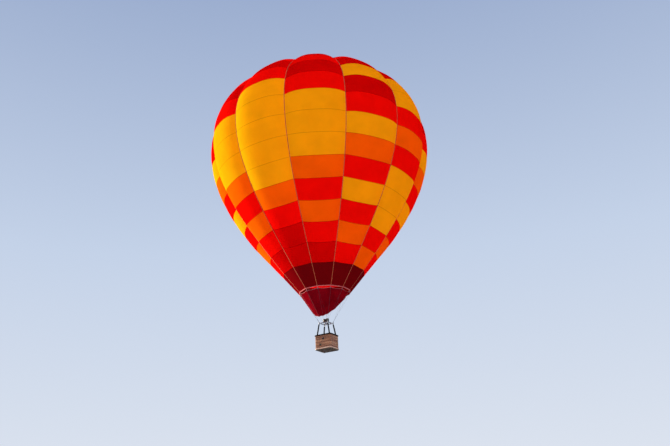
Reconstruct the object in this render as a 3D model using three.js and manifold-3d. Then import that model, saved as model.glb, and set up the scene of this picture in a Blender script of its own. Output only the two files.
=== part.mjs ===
// A hot air balloon with twelve bulging gores, upright, as it floats. Lengths are in millimetres, +Z is up.
// Heights are first measured from the underside of the basket. The model is then moved down by the height of
// its centre of buoyancy, where the origin lies on the balloon's axis.
import * as THREE from 'three';
import { mergeVertices } from 'three/addons/utils/BufferGeometryUtils.js';
import Module from 'manifold-3d';

const wasm = await Module();
wasm.setup();

// Height of the centre of buoyancy
const AIR_HEIGHT = 14800;

// Gaps between touching solids
const GAP = 0.4;
const SEAT = 0.5;

// Fineness of the meshes and of the sums behind them
const MERGE_TOLERANCE = 1e-3;
const LENGTH_TOLERANCE = 0.01;
const BAR_SIDES = 8;
const COVER_SIDES = 10;
const ROUND_SIDES = 16;
const HOLE_SIDES = 12;
const CORNER_STEPS = 5;

// Envelope: twelve gores between twelve vertical load tapes
const GORES = 12;
const GORE_ANGLE = (2 * Math.PI) / GORES;
const HALF_GORE = GORE_ANGLE / 2;
const FIRST_TAPE = THREE.MathUtils.degToRad(15);
const FABRIC = 10;
const MOUTH_HEIGHT = 4230;
const MOUTH_RADIUS = 1865;
const MOUTH_LEAN = 40.5;
// The tape's line is a chain of arcs: each has its length, and the tape's lean from upright at its end, in
// degrees
const TAPE_ARCS = [
  { length: 6400, lean: 34.4 },
  { length: 3600, lean: 23 },
  { length: 3500, lean: 1.5 },
  { length: 3500, lean: -33.5 },
  { length: 3500, lean: -59 },
  { length: 2300, lean: -87 },
  { length: 3000, lean: -89.5 },
];
const BULGE = 0.14;
const BULGE_RISE = 5000;
const BULGE_FALL = 3000;
const MOUTH_PANEL = 1790;
const PANEL = 1512;
const GORE_COLUMNS = 6;
const OPENING_RADIUS = 2300;
const NORMAL_STEP_ACROSS = 0.01;
const NORMAL_STEP_ALONG = 10;

// Load tapes, the bands at the two ends of the gores and the crown ring. A flat tape is lifted over the
// valley between two gores. The crown ring has one flat under each strap's end and one between them.
const TAPE_WIDTH = 50;
const TAPE_THICKNESS = 8;
const VALLEY_LIFT = 9;
const BAND_HEIGHT = 70;
const BAND_OVERHANG = 12;
const BAND_THICKNESS = 4;
const CROWN_RING_RADIUS = 190;
const CROWN_RING_TUBE = 16;
const CROWN_RING_FLATS = 2 * GORES;
const CROWN_BAR_FLATS = 8;

// Parachute valve under the crown opening
const VALVE_LAP = 330;
const VALVE_CENTRE_RADIUS = 60;
const VALVE_STEPS = 3;

// Load frame, with a socket at each corner
const FRAME_HEIGHT = 1980;
const FRAME_SIDE = 740;
const FRAME_TUBE = 17;
const SOCKET_RADIUS = 30;
const SOCKET_DROP = 90;
const SOCKET_RISE = 40;
const LUG_THICKNESS = 24;
const LUG_WIDTH = 60;
const LUG_CLEARANCE = 6;

// Flying wires, three from each corner of the frame, and the shackles that hold them
const WIRE_RADIUS = 4;
const WIRE_SIDES = 6;
const SHACKLE_RADIUS = 34;
const SHACKLE_BAR = 7;
const KNUCKLE_RADIUS = 22;

// Scoop: a cone of flat cloth panels inside the wires, open at the back. Its hem sweeps up to both ends.
const SCOOP_DROP = 1885;
const SCOOP_FOOT_RADIUS = 655;
const SCOOP_INSET = 4.5;
const SCOOP_RISE = 3.2;
const SCOOP_HALF_ANGLE = 105;
const SCOOP_STEP = 15;
const SCOOP_ROWS = 2;
const HEM_ANGLE = 110;
const HEM_POWER = 2.2;

// Gimbal ring and twin burner
const GIMBAL_X = 600;
const GIMBAL_Y = 520;
const GIMBAL_BAR = 22;
const PIN_RADIUS = 8;
const PIN_CLEARANCE = 0.7;
const PIN_END_GAP = 2;
const BURNER_SPACING = 250;
const BLOCK_OVERHANG = 90;
const BLOCK_DEPTH = 70;
const BLOCK_HEIGHT = 60;
const YOKE_WIDTH = 44;
const YOKE_HEIGHT = 30;
const YOKE_CLEARANCE = 12;
const STEM_RADIUS = 24;
const STEM_DROP = 110;
const LEVER = { width: 26, length: 150, height: 18, out: 70, drop: 70 };
const CAN_RADIUS = 112;
const CAN_WALL = 6;
const CAN_BASE = 90;
const CAN_TOP = 320;
const CAN_SHOULDER = 40;
const CAN_FOOT_SHARE = 0.62;

// Basket
const BASKET_X = 1320;
const BASKET_Y = 1150;
const BASKET_CORNER = 130;
const WALL = 32;
const RUNNER_HEIGHT = 40;
const RUNNER_WIDTH = 60;
const RUNNERS = 4;
const RUNNER_INSET_X = 60;
const RUNNER_INSET_Y = 90;
const FLOOR_THICKNESS = 20;
const FLOOR_OVERHANG = 22;
const WALL_TOP = 1010;
const RIM_WIDTH = 104;
const RIM_HEIGHT = 92;
const RIM_FULLNESS = 1.1;
const RIM_SIDES = 10;
const SKIRT_HEIGHT = 95;
const SKIRT_THICKNESS = 16;
const STEP_WIDTH = 120;
const STEP_HEIGHT = 110;
// Step holes through the two wide walls: across from the middle, and up from the underside
const STEPS = [
  { across: 45, up: 760 },
  { across: -190, up: 370 },
];
const POST_X = 540;
const POST_Y = 455;
const POST_RADIUS = 36;
const POST_TOP = 900;
const WEB_THICKNESS = 30;
const WEB_OFFSET = 36;
const UPRIGHT_RADIUS = 46;

// Fuel cylinders, two along each narrow wall
const CYLINDER_RADIUS = 148;
const CYLINDER_HEIGHT = 800;
const CYLINDER_X = 460;
const CYLINDER_Y = 158;
const FOOT_SHARE = 0.82;
const FOOT_HEIGHT = 30;
const LOWER_DISH = 80;
const UPPER_DISH = { start: 150, end: 76, share: 0.6 };
const COLLAR_WALL_SHARE = 0.06;
const VALVE_BODY_SHARE = 0.2;
const VALVE_BODY_DROP = 20;

// Finishes: colour, roughness and metalness
const FINISHES = {
  yellowCloth: [0xf0a000, 0.6, 0],
  orangeCloth: [0xf85a00, 0.6, 0],
  redCloth: [0xd80808, 0.6, 0],
  scoopCloth: [0x70000c, 0.7, 0],
  webbing: [0xd84a20, 0.7, 0],
  alloy: [0xb9bcc0, 0.35, 1],
  steel: [0xb9bcc0, 0.3, 1],
  cover: [0x17181c, 0.85, 0],
  wicker: [0x8a5c3a, 0.9, 0],
  suede: [0x2a1810, 0.6, 0],
  rawhide: [0xd6ae88, 0.75, 0],
  plywood: [0xb08a58, 0.7, 0],
  hardwood: [0x4a3a2a, 0.8, 0],
  cylinderSteel: [0x9fa3a8, 0.4, 0.9],
};

const balloon = new THREE.Group();

function addPart(name, geometry, [color, roughness, metalness]) {
  const mesh = new THREE.Mesh(geometry, new THREE.MeshStandardMaterial({ color, roughness, metalness }));
  mesh.name = name;
  balloon.add(mesh);
}

// Closed mesh from points and triangles, turned so that its faces point out
function closedMesh(points, triangles) {
  const volume = triangles.reduce((sum, [a, b, c]) => (
    sum + points[a].dot(new THREE.Vector3().crossVectors(points[b], points[c]))
  ), 0);
  const facing = volume > 0 ? triangles : triangles.map(([a, b, c]) => [a, c, b]);
  const geometry = new THREE.BufferGeometry();
  const numbers = points.flatMap((point) => point.toArray());
  geometry.setAttribute('position', new THREE.Float32BufferAttribute(numbers, 3));
  geometry.setIndex(facing.flat());
  return geometry;
}

function toSolid(geometry) {
  const bare = geometry.clone();
  bare.deleteAttribute('normal');
  bare.deleteAttribute('uv');
  const merged = mergeVertices(bare, MERGE_TOLERANCE);
  const vertProperties = new Float32Array(merged.attributes.position.array);
  const triVerts = new Uint32Array(merged.index.array);
  return new wasm.Manifold(new wasm.Mesh({ numProp: 3, vertProperties, triVerts }));
}

function fromSolid(solid) {
  const mesh = solid.getMesh();
  const geometry = new THREE.BufferGeometry();
  geometry.setAttribute('position', new THREE.Float32BufferAttribute(mesh.vertProperties, 3));
  geometry.setIndex(Array.from(mesh.triVerts));
  return geometry;
}

function join(geometries) {
  const solids = geometries.map(toSolid);
  return fromSolid(solids.reduce((sum, solid) => sum.add(solid)));
}

function cut(geometry, tools) {
  return fromSolid(tools.reduce((rest, tool) => rest.subtract(toSolid(tool)), toSolid(geometry)));
}

function boxAt(x, y, z, centre) {
  return new THREE.BoxGeometry(x, y, z).translate(centre.x, centre.y, centre.z);
}

// Straight round bar between two points
function rod(from, to, radius, sides = BAR_SIDES) {
  const span = new THREE.Vector3().subVectors(to, from);
  const bar = new THREE.CylinderGeometry(radius, radius, span.length(), sides);
  const upright = new THREE.Vector3(0, 1, 0);
  bar.applyQuaternion(new THREE.Quaternion().setFromUnitVectors(upright, span.normalize()));
  const middle = new THREE.Vector3().addVectors(from, to).multiplyScalar(0.5);
  return bar.translate(middle.x, middle.y, middle.z);
}

// Bar with level ends, leaning from one point to another
function leaningBar(from, to, radius, sides = COVER_SIDES) {
  const bar = new THREE.CylinderGeometry(radius, radius, to.z - from.z, sides);
  bar.rotateX(Math.PI / 2).translate(0, 0, (to.z - from.z) / 2);
  const shear = new THREE.Matrix4().set(
    1, 0, (to.x - from.x) / (to.z - from.z), from.x,
    0, 1, (to.y - from.y) / (to.z - from.z), from.y,
    0, 0, 1, from.z,
    0, 0, 0, 1,
  );
  return bar.applyMatrix4(shear);
}

// Skin of rows and columns of points: side walls join an outer and an inner sheet
function shell(outer, inner) {
  const rows = outer.length;
  const columns = outer[0].length;
  const points = [...outer.flat(), ...inner.flat()];
  const triangles = [];
  const out = (row, column) => row * columns + column;
  const into = (row, column) => rows * columns + row * columns + column;
  const quad = (a, b, c, d) => triangles.push([a, b, c], [a, c, d]);
  const lastRow = rows - 1;
  const lastColumn = columns - 1;
  for (let row = 0; row < lastRow; row += 1) {
    for (let column = 0; column < lastColumn; column += 1) {
      quad(out(row, column), out(row, column + 1), out(row + 1, column + 1), out(row + 1, column));
      quad(into(row, column), into(row + 1, column), into(row + 1, column + 1), into(row, column + 1));
    }
    quad(out(row, 0), out(row + 1, 0), into(row + 1, 0), into(row, 0));
    quad(out(row + 1, lastColumn), out(row, lastColumn), into(row, lastColumn), into(row + 1, lastColumn));
  }
  for (let column = 0; column < lastColumn; column += 1) {
    quad(out(0, column + 1), out(0, column), into(0, column), into(0, column + 1));
    quad(out(lastRow, column), out(lastRow, column + 1), into(lastRow, column + 1), into(lastRow, column));
  }
  return closedMesh(points, triangles);
}

// Bar whose section changes along its way: rings of points, closed by its ends or onto itself
function loft(rings, closed = false) {
  const count = rings[0].length;
  const points = rings.flat();
  const triangles = [];
  const last = closed ? rings.length : rings.length - 1;
  for (let ring = 0; ring < last; ring += 1) {
    const next = (ring + 1) % rings.length;
    for (let corner = 0; corner < count; corner += 1) {
      const beside = (corner + 1) % count;
      const a = ring * count + corner;
      const b = ring * count + beside;
      const c = next * count + beside;
      const d = next * count + corner;
      triangles.push([a, b, c], [a, c, d]);
    }
  }
  if (!closed) {
    const end = (rings.length - 1) * count;
    for (let corner = 1; corner < count - 1; corner += 1) {
      triangles.push([0, corner + 1, corner], [end, end + corner, end + corner + 1]);
    }
  }
  return closedMesh(points, triangles);
}

// Point of the tape's line at a length along it: radius, height above the mouth and lean
function tapeLine(along) {
  let radius = MOUTH_RADIUS;
  let height = 0;
  let lean = THREE.MathUtils.degToRad(MOUTH_LEAN);
  let left = along;
  for (const arc of TAPE_ARCS) {
    const end = THREE.MathUtils.degToRad(arc.lean);
    const bend = (end - lean) / arc.length;
    const run = Math.min(left, arc.length);
    const next = lean + bend * run;
    radius += (Math.cos(lean) - Math.cos(next)) / bend;
    height += (Math.sin(next) - Math.sin(lean)) / bend;
    lean = next;
    left -= run;
    if (left <= 0) break;
  }
  return { radius, height: MOUTH_HEIGHT + height, lean };
}

// Length along the tape at which its line, past the widest place, has come in to a radius
function lengthAtRadius(radius) {
  let low = TAPE_ARCS[0].length + TAPE_ARCS[1].length + TAPE_ARCS[2].length;
  let high = TAPE_ARCS.reduce((sum, arc) => sum + arc.length, 0);
  while (high - low > LENGTH_TOLERANCE) {
    const middle = (low + high) / 2;
    if (tapeLine(middle).radius > radius) low = middle;
    else high = middle;
  }
  return low;
}

const OPENING_AT = lengthAtRadius(OPENING_RADIUS);

function direction(azimuth) {
  return new THREE.Vector3(Math.cos(azimuth), Math.sin(azimuth), 0);
}

// Point at a radius and height on the upright plane through the axis at an azimuth
function polar(azimuth, radius, height) {
  return direction(azimuth).multiplyScalar(radius).setZ(height);
}

// Outward direction square to the tape, in its upright plane
function tapeNormal(azimuth, lean) {
  return direction(azimuth).multiplyScalar(Math.cos(lean)).setZ(-Math.sin(lean));
}

function bulgeShare(along) {
  const fromMouth = THREE.MathUtils.clamp((along - BAND_HEIGHT) / BULGE_RISE, 0, 1);
  const fromOpening = THREE.MathUtils.clamp((OPENING_AT - BAND_HEIGHT - along) / BULGE_FALL, 0, 1);
  return BULGE * fromMouth * Math.sin((fromOpening * Math.PI) / 2);
}

// Point of a gore's outer face: across runs from -1 at one tape to 1 at the next
function gorePoint(azimuth, along, across) {
  const { radius, height, lean } = tapeLine(along);
  const chord = 2 * radius * Math.sin(HALF_GORE);
  const rise = bulgeShare(along) * chord * (1 - across * across);
  const out = radius * Math.cos(HALF_GORE) + rise * Math.cos(lean);
  const side = direction(azimuth + Math.PI / 2).multiplyScalar((across * chord) / 2);
  return polar(azimuth, out, height - rise * Math.sin(lean)).add(side);
}

function goreNormal(azimuth, along, across) {
  const a = gorePoint(azimuth, along, across - NORMAL_STEP_ACROSS);
  const b = gorePoint(azimuth, along, across + NORMAL_STEP_ACROSS);
  const c = gorePoint(azimuth, Math.max(along - NORMAL_STEP_ALONG, 0), across);
  const d = gorePoint(azimuth, along + NORMAL_STEP_ALONG, across);
  return b.sub(a).cross(d.sub(c)).normalize();
}

// Lengths along the tape of the gores' rows: the panel seams, the bands and the two ends
const ROWS = [0, BAND_HEIGHT];
for (let along = MOUTH_PANEL; along < OPENING_AT - PANEL / 3; along += PANEL) {
  ROWS.push(along);
}
ROWS.push(OPENING_AT - BAND_HEIGHT, OPENING_AT);

// The gore's two long edges keep half a gap to the seam's plane
function goreEdge(azimuth, along, side, depth) {
  const { radius, height, lean } = tapeLine(along);
  const seam = azimuth + side * HALF_GORE;
  const back = direction(seam - (side * Math.PI) / 2).multiplyScalar(GAP / 2);
  return polar(seam, radius, height).addScaledVector(tapeNormal(seam, lean), -depth).add(back);
}

function gore(azimuth) {
  const outer = [];
  const inner = [];
  for (const along of ROWS) {
    const outerRow = [];
    const innerRow = [];
    for (let column = 0; column <= GORE_COLUMNS; column += 1) {
      const across = (2 * column) / GORE_COLUMNS - 1;
      if (Math.abs(across) === 1) {
        outerRow.push(goreEdge(azimuth, along, across, 0));
        innerRow.push(goreEdge(azimuth, along, across, FABRIC));
      } else {
        const point = gorePoint(azimuth, along, across);
        outerRow.push(point);
        innerRow.push(point.clone().addScaledVector(goreNormal(azimuth, along, across), -FABRIC));
      }
    }
    outer.push(outerRow);
    inner.push(innerRow);
  }
  return shell(outer, inner);
}

function tapeAzimuth(index) {
  return FIRST_TAPE + index * GORE_ANGLE;
}

const GORE_FINISHES = [FINISHES.redCloth, FINISHES.yellowCloth, FINISHES.orangeCloth];
for (let index = 0; index < GORES; index += 1) {
  const name = `gore_${String(index + 1).padStart(2, '0')}`;
  addPart(name, gore(tapeAzimuth(index) + HALF_GORE), GORE_FINISHES[index % GORE_FINISHES.length]);
}

// Section of a strap across the tape's line, from its inner to its outer face
function strapRing(azimuth, along, lift) {
  const { radius, height, lean } = tapeLine(along);
  const normal = tapeNormal(azimuth, lean);
  const side = direction(azimuth + Math.PI / 2).multiplyScalar(TAPE_WIDTH / 2);
  const inner = polar(azimuth, radius, height).addScaledVector(normal, lift);
  const outer = inner.clone().addScaledVector(normal, TAPE_THICKNESS);
  return [
    inner.clone().sub(side),
    inner.clone().add(side),
    outer.clone().add(side),
    outer.clone().sub(side),
  ];
}

// Distance from the axis to the crown ring's outer face
const CROWN_RING_FACE = (CROWN_RING_RADIUS + CROWN_RING_TUBE * Math.cos(Math.PI / CROWN_BAR_FLATS))
  * Math.cos(Math.PI / CROWN_RING_FLATS);

// A strap lies on the fabric, then runs over the opening to the crown ring
function strap(azimuth) {
  const ringAt = lengthAtRadius(CROWN_RING_FACE + SEAT);
  const stations = [BAND_OVERHANG, ...ROWS.slice(1), (OPENING_AT + ringAt) / 2, ringAt];
  return loft(stations.map((along) => strapRing(azimuth, along, VALLEY_LIFT)));
}

// Band round the envelope's end, straight between the tapes
function endBand(from, to) {
  const rings = [];
  for (let index = 0; index < GORES; index += 1) {
    const azimuth = tapeAzimuth(index);
    const section = [];
    const outer = VALLEY_LIFT + BAND_THICKNESS;
    for (const [along, lift] of [[from, GAP], [from, outer], [to, outer], [to, GAP]]) {
      const { radius, height, lean } = tapeLine(along);
      section.push(polar(azimuth, radius, height).addScaledVector(tapeNormal(azimuth, lean), lift));
    }
    rings.push(section);
  }
  return loft(rings, true);
}

const straps = [];
for (let index = 0; index < GORES; index += 1) {
  straps.push(strap(tapeAzimuth(index)));
}
const mouthBand = endBand(0, BAND_HEIGHT);
const crownBand = endBand(OPENING_AT - BAND_HEIGHT, OPENING_AT);
addPart('load_tapes', join([mouthBand, crownBand, ...straps]), FINISHES.webbing);

// Crown ring: a round bar bent to a ring
function crownRing(height) {
  const rings = [];
  for (let index = 0; index < CROWN_RING_FLATS; index += 1) {
    const azimuth = FIRST_TAPE + ((index + 0.5) * 2 * Math.PI) / CROWN_RING_FLATS;
    const section = [];
    for (let corner = 0; corner < CROWN_BAR_FLATS; corner += 1) {
      const turn = (2 * Math.PI * (corner + 0.5)) / CROWN_BAR_FLATS;
      const radius = CROWN_RING_RADIUS + CROWN_RING_TUBE * Math.cos(turn);
      section.push(polar(azimuth, radius, height - CROWN_RING_TUBE * Math.sin(turn)));
    }
    rings.push(section);
  }
  return loft(rings, true);
}

const crownStrap = tapeLine(lengthAtRadius(CROWN_RING_RADIUS + CROWN_RING_TUBE));
addPart('crown_ring', crownRing(crownStrap.height + VALLEY_LIFT + TAPE_THICKNESS / 2), FINISHES.alloy);

// Point under the faceted gore at a tape, as radius and height, at a depth below the fabric's outer face
function underGore(along, depth) {
  const next = ROWS.findIndex((row) => row >= along);
  const ends = next > 0 ? [ROWS[next - 1], ROWS[next]] : [along, along];
  const [low, high] = ends.map((end) => {
    const { radius, height, lean } = tapeLine(end);
    return new THREE.Vector2(radius - depth * Math.cos(lean), height + depth * Math.sin(lean));
  });
  const share = next > 0 ? (along - ends[0]) / (ends[1] - ends[0]) : 0;
  return low.lerp(high, share);
}

// Parachute valve: a twelve-sided dome that lies under the gores' upper ends and the straps
const valveEdge = lengthAtRadius(OPENING_RADIUS + VALVE_LAP);
const valveCentre = lengthAtRadius(VALVE_CENTRE_RADIUS);
const valveAlong = [valveEdge, OPENING_AT - BAND_HEIGHT];
for (let step = 0; step <= VALVE_STEPS; step += 1) {
  valveAlong.push(OPENING_AT + ((valveCentre - OPENING_AT) * step) / VALVE_STEPS);
}
const valveProfile = [FABRIC + SEAT, 2 * FABRIC + SEAT].map((depth) => {
  const face = valveAlong.map((along) => underGore(along, depth));
  face.push(new THREE.Vector2(0, face[face.length - 1].y));
  return face;
});
const valveOutline = [...valveProfile[1].reverse(), ...valveProfile[0]];
const valve = new THREE.LatheGeometry(valveOutline, GORES);
valve.rotateX(Math.PI / 2).rotateZ(FIRST_TAPE);
addPart('parachute_valve', valve, FINISHES.redCloth);

// Corners of the load frame, and the tapes whose wires each corner holds
const CORNERS = [
  { name: 'front_right', azimuth: -45 },
  { name: 'back_right', azimuth: 45 },
  { name: 'back_left', azimuth: 135 },
  { name: 'front_left', azimuth: 225 },
];
const HALF_FRAME = FRAME_SIDE / 2;
const SHACKLE_HEIGHT = FRAME_HEIGHT + SOCKET_RISE + GAP + SHACKLE_RADIUS + SHACKLE_BAR;
let wireNumber = 0;
for (const corner of CORNERS) {
  const azimuth = THREE.MathUtils.degToRad(corner.azimuth);
  const x = HALF_FRAME * Math.sign(Math.cos(azimuth));
  const y = HALF_FRAME * Math.sign(Math.sin(azimuth));
  const middle = new THREE.Vector3(x, y, SHACKLE_HEIGHT);
  const lean = Math.atan2(MOUTH_RADIUS - Math.hypot(x, y), MOUTH_HEIGHT - SHACKLE_HEIGHT);
  const reach = polar(azimuth, SHACKLE_RADIUS * Math.sin(lean), SHACKLE_RADIUS * Math.cos(lean));
  const knuckle = middle.clone().add(reach);
  const ring = new THREE.TorusGeometry(SHACKLE_RADIUS, SHACKLE_BAR, WIRE_SIDES, HOLE_SIDES);
  ring.rotateX(Math.PI / 2).rotateZ(azimuth).translate(middle.x, middle.y, middle.z);
  const ball = new THREE.IcosahedronGeometry(KNUCKLE_RADIUS, 1).translate(knuckle.x, knuckle.y, knuckle.z);
  addPart(`shackle_${corner.name}`, join([ring, ball]), FINISHES.steel);
  for (const turn of [-GORE_ANGLE, 0, GORE_ANGLE]) {
    const { radius, height, lean: tapeLean } = tapeLine(0);
    const end = polar(azimuth + turn, radius, height);
    end.addScaledVector(tapeNormal(azimuth + turn, tapeLean), VALLEY_LIFT / 2);
    const along = new THREE.Vector3().subVectors(end, knuckle).normalize();
    const start = knuckle.clone().addScaledVector(along, KNUCKLE_RADIUS + GAP);
    end.addScaledVector(along, -3 * GAP);
    wireNumber += 1;
    const name = `flying_wire_${String(wireNumber).padStart(2, '0')}`;
    addPart(name, rod(start, end, WIRE_RADIUS, WIRE_SIDES), FINISHES.steel);
  }
}

// Load frame: four tubes, a socket at each corner and a lug for each gimbal pin
const frameParts = [];
for (const side of [-1, 1]) {
  const along = HALF_FRAME * side;
  const z = FRAME_HEIGHT;
  const left = new THREE.Vector3(-HALF_FRAME, along, z);
  const right = new THREE.Vector3(HALF_FRAME, along, z);
  const front = new THREE.Vector3(along, -HALF_FRAME, z);
  const back = new THREE.Vector3(along, HALF_FRAME, z);
  frameParts.push(rod(left, right, FRAME_TUBE), rod(front, back, FRAME_TUBE));
  const lugInner = side * (GIMBAL_X / 2 + GIMBAL_BAR / 2 + LUG_CLEARANCE);
  const lugMiddle = new THREE.Vector3((lugInner + along) / 2, 0, z);
  frameParts.push(boxAt(Math.abs(along - lugInner), LUG_WIDTH, LUG_THICKNESS * 2, lugMiddle));
  for (const other of [-1, 1]) {
    const foot = new THREE.Vector3(along, HALF_FRAME * other, z - SOCKET_DROP);
    const top = new THREE.Vector3(along, HALF_FRAME * other, z + SOCKET_RISE);
    frameParts.push(rod(foot, top, SOCKET_RADIUS, COVER_SIDES));
  }
}
const PIN_HOLE_RADIUS = (PIN_RADIUS + PIN_CLEARANCE) / Math.cos(Math.PI / HOLE_SIDES);
const pinSpan = HALF_FRAME + 2 * FRAME_TUBE;
const pinHole = rod(
  new THREE.Vector3(-pinSpan, 0, FRAME_HEIGHT),
  new THREE.Vector3(pinSpan, 0, FRAME_HEIGHT),
  PIN_HOLE_RADIUS,
  HOLE_SIDES,
);
addPart('load_frame', cut(join(frameParts), [pinHole]), FINISHES.steel);

// Gimbal ring: a flat bar bent to a rectangle, pinned to the frame along X and to the burner along Y
const gimbalOutline = new THREE.Shape();
gimbalOutline.moveTo(-GIMBAL_X / 2, -GIMBAL_Y / 2);
gimbalOutline.lineTo(GIMBAL_X / 2, -GIMBAL_Y / 2);
gimbalOutline.lineTo(GIMBAL_X / 2, GIMBAL_Y / 2);
gimbalOutline.lineTo(-GIMBAL_X / 2, GIMBAL_Y / 2);
gimbalOutline.closePath();
const gimbalHole = new THREE.Path();
gimbalHole.moveTo(-GIMBAL_X / 2 + GIMBAL_BAR, -GIMBAL_Y / 2 + GIMBAL_BAR);
gimbalHole.lineTo(-GIMBAL_X / 2 + GIMBAL_BAR, GIMBAL_Y / 2 - GIMBAL_BAR);
gimbalHole.lineTo(GIMBAL_X / 2 - GIMBAL_BAR, GIMBAL_Y / 2 - GIMBAL_BAR);
gimbalHole.lineTo(GIMBAL_X / 2 - GIMBAL_BAR, -GIMBAL_Y / 2 + GIMBAL_BAR);
gimbalHole.closePath();
gimbalOutline.holes.push(gimbalHole);
const gimbalBar = new THREE.ExtrudeGeometry(gimbalOutline, { depth: LUG_THICKNESS, bevelEnabled: false });
gimbalBar.translate(0, 0, FRAME_HEIGHT - LUG_THICKNESS / 2);
const gimbalPins = [-1, 1].map((side) => rod(
  new THREE.Vector3(side * (GIMBAL_X / 2 - GIMBAL_BAR / 2), 0, FRAME_HEIGHT),
  new THREE.Vector3(side * (HALF_FRAME - PIN_END_GAP), 0, FRAME_HEIGHT),
  PIN_RADIUS,
  HOLE_SIDES,
));
const rollHole = rod(
  new THREE.Vector3(0, -GIMBAL_Y, FRAME_HEIGHT),
  new THREE.Vector3(0, GIMBAL_Y, FRAME_HEIGHT),
  PIN_HOLE_RADIUS,
  HOLE_SIDES,
);
addPart('gimbal_ring', cut(join([gimbalBar, ...gimbalPins]), [rollHole]), FINISHES.steel);

// Burner: two coil cans on a valve block, with its pivot pins
const burnerCentre = new THREE.Vector3(0, 0, FRAME_HEIGHT);
const blockParts = [boxAt(BURNER_SPACING + BLOCK_OVERHANG, BLOCK_DEPTH, BLOCK_HEIGHT, burnerCentre)];
const pinReach = GIMBAL_Y / 2 - PIN_END_GAP;
blockParts.push(rod(
  new THREE.Vector3(0, -pinReach, FRAME_HEIGHT),
  new THREE.Vector3(0, pinReach, FRAME_HEIGHT),
  PIN_RADIUS,
  HOLE_SIDES,
));
blockParts.push(boxAt(YOKE_WIDTH, GIMBAL_Y - 2 * GIMBAL_BAR - YOKE_CLEARANCE, YOKE_HEIGHT, burnerCentre));
for (const side of [-1, 1]) {
  const x = (side * BURNER_SPACING) / 2;
  const canFloor = CAN_BASE + 2 * CAN_WALL;
  const foot = new THREE.Vector3(x, 0, FRAME_HEIGHT - STEM_DROP);
  const head = new THREE.Vector3(x, 0, FRAME_HEIGHT + CAN_BASE + CAN_WALL);
  const lever = new THREE.Vector3(x, -side * LEVER.out, FRAME_HEIGHT - LEVER.drop);
  blockParts.push(rod(foot, head, STEM_RADIUS, COVER_SIDES));
  blockParts.push(boxAt(LEVER.width, LEVER.length, LEVER.height, lever));
  const canOutline = [
    new THREE.Vector2(0, CAN_BASE),
    new THREE.Vector2(CAN_RADIUS * CAN_FOOT_SHARE, CAN_BASE),
    new THREE.Vector2(CAN_RADIUS, CAN_BASE + CAN_SHOULDER),
    new THREE.Vector2(CAN_RADIUS, CAN_TOP),
    new THREE.Vector2(CAN_RADIUS - CAN_WALL, CAN_TOP),
    new THREE.Vector2(CAN_RADIUS - CAN_WALL, CAN_BASE + CAN_SHOULDER + CAN_WALL),
    new THREE.Vector2(CAN_RADIUS * CAN_FOOT_SHARE - CAN_WALL, canFloor),
    new THREE.Vector2(0, canFloor),
  ];
  const can = new THREE.LatheGeometry(canOutline, ROUND_SIDES).rotateX(Math.PI / 2);
  blockParts.push(can.translate(x, 0, FRAME_HEIGHT));
}
addPart('burner', join(blockParts), FINISHES.steel);

// Scoop: each point lies on a flat panel between two tapes, at a share of the way from the mouth to the hem
function scoopPoint(degrees, share) {
  const turn = THREE.MathUtils.degToRad(degrees);
  const offMiddle = turn - Math.round(turn / GORE_ANGLE) * GORE_ANGLE;
  const down = share * Math.sqrt(1 - (Math.abs(degrees) / HEM_ANGLE) ** HEM_POWER);
  const atTape = THREE.MathUtils.lerp(MOUTH_RADIUS - SCOOP_INSET, SCOOP_FOOT_RADIUS, down);
  const radius = (atTape * Math.cos(HALF_GORE)) / Math.cos(offMiddle);
  return polar(turn - Math.PI / 2, radius, MOUTH_HEIGHT + SCOOP_RISE - down * SCOOP_DROP);
}

const scoopStops = [];
for (let degrees = -SCOOP_HALF_ANGLE; degrees <= SCOOP_HALF_ANGLE; degrees += SCOOP_STEP) {
  scoopStops.push(degrees);
}
const scoopOuter = [];
for (let row = 0; row <= SCOOP_ROWS; row += 1) {
  scoopOuter.push(scoopStops.map((degrees) => scoopPoint(degrees, 1 - row / SCOOP_ROWS)));
}
function sheetNormal(grid, row, column) {
  const above = grid[Math.min(row + 1, grid.length - 1)][column];
  const below = grid[Math.max(row - 1, 0)][column];
  const right = grid[row][Math.min(column + 1, grid[row].length - 1)];
  const left = grid[row][Math.max(column - 1, 0)];
  return right.clone().sub(left).cross(above.clone().sub(below)).normalize();
}
const scoopInner = scoopOuter.map((line, row) => line.map((point, column) => (
  point.clone().addScaledVector(sheetNormal(scoopOuter, row, column), -FABRIC)
)));
addPart('scoop', shell(scoopOuter, scoopInner), FINISHES.scoopCloth);

// Uprights lean in from the posts in the basket's corners to the frame's sockets
for (const corner of CORNERS) {
  const azimuth = THREE.MathUtils.degToRad(corner.azimuth);
  const sideX = Math.sign(Math.cos(azimuth));
  const sideY = Math.sign(Math.sin(azimuth));
  const foot = new THREE.Vector3(sideX * POST_X, sideY * POST_Y, POST_TOP + GAP);
  const head = new THREE.Vector3(sideX * HALF_FRAME, sideY * HALF_FRAME, FRAME_HEIGHT - SOCKET_DROP - GAP);
  addPart(`upright_${corner.name}`, leaningBar(foot, head, UPRIGHT_RADIUS), FINISHES.cover);
}

// Rounded rectangle as a shape, or as a hole
function roundedRectangle(target, x, y, corner) {
  const a = x / 2;
  const b = y / 2;
  target.moveTo(-a + corner, -b);
  target.lineTo(a - corner, -b);
  target.absarc(a - corner, -b + corner, corner, -Math.PI / 2, 0);
  target.lineTo(a, b - corner);
  target.absarc(a - corner, b - corner, corner, 0, Math.PI / 2);
  target.lineTo(-a + corner, b);
  target.absarc(-a + corner, b - corner, corner, Math.PI / 2, Math.PI);
  target.lineTo(-a, -b + corner);
  target.absarc(-a + corner, -b + corner, corner, Math.PI, 1.5 * Math.PI);
  return target;
}

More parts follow.
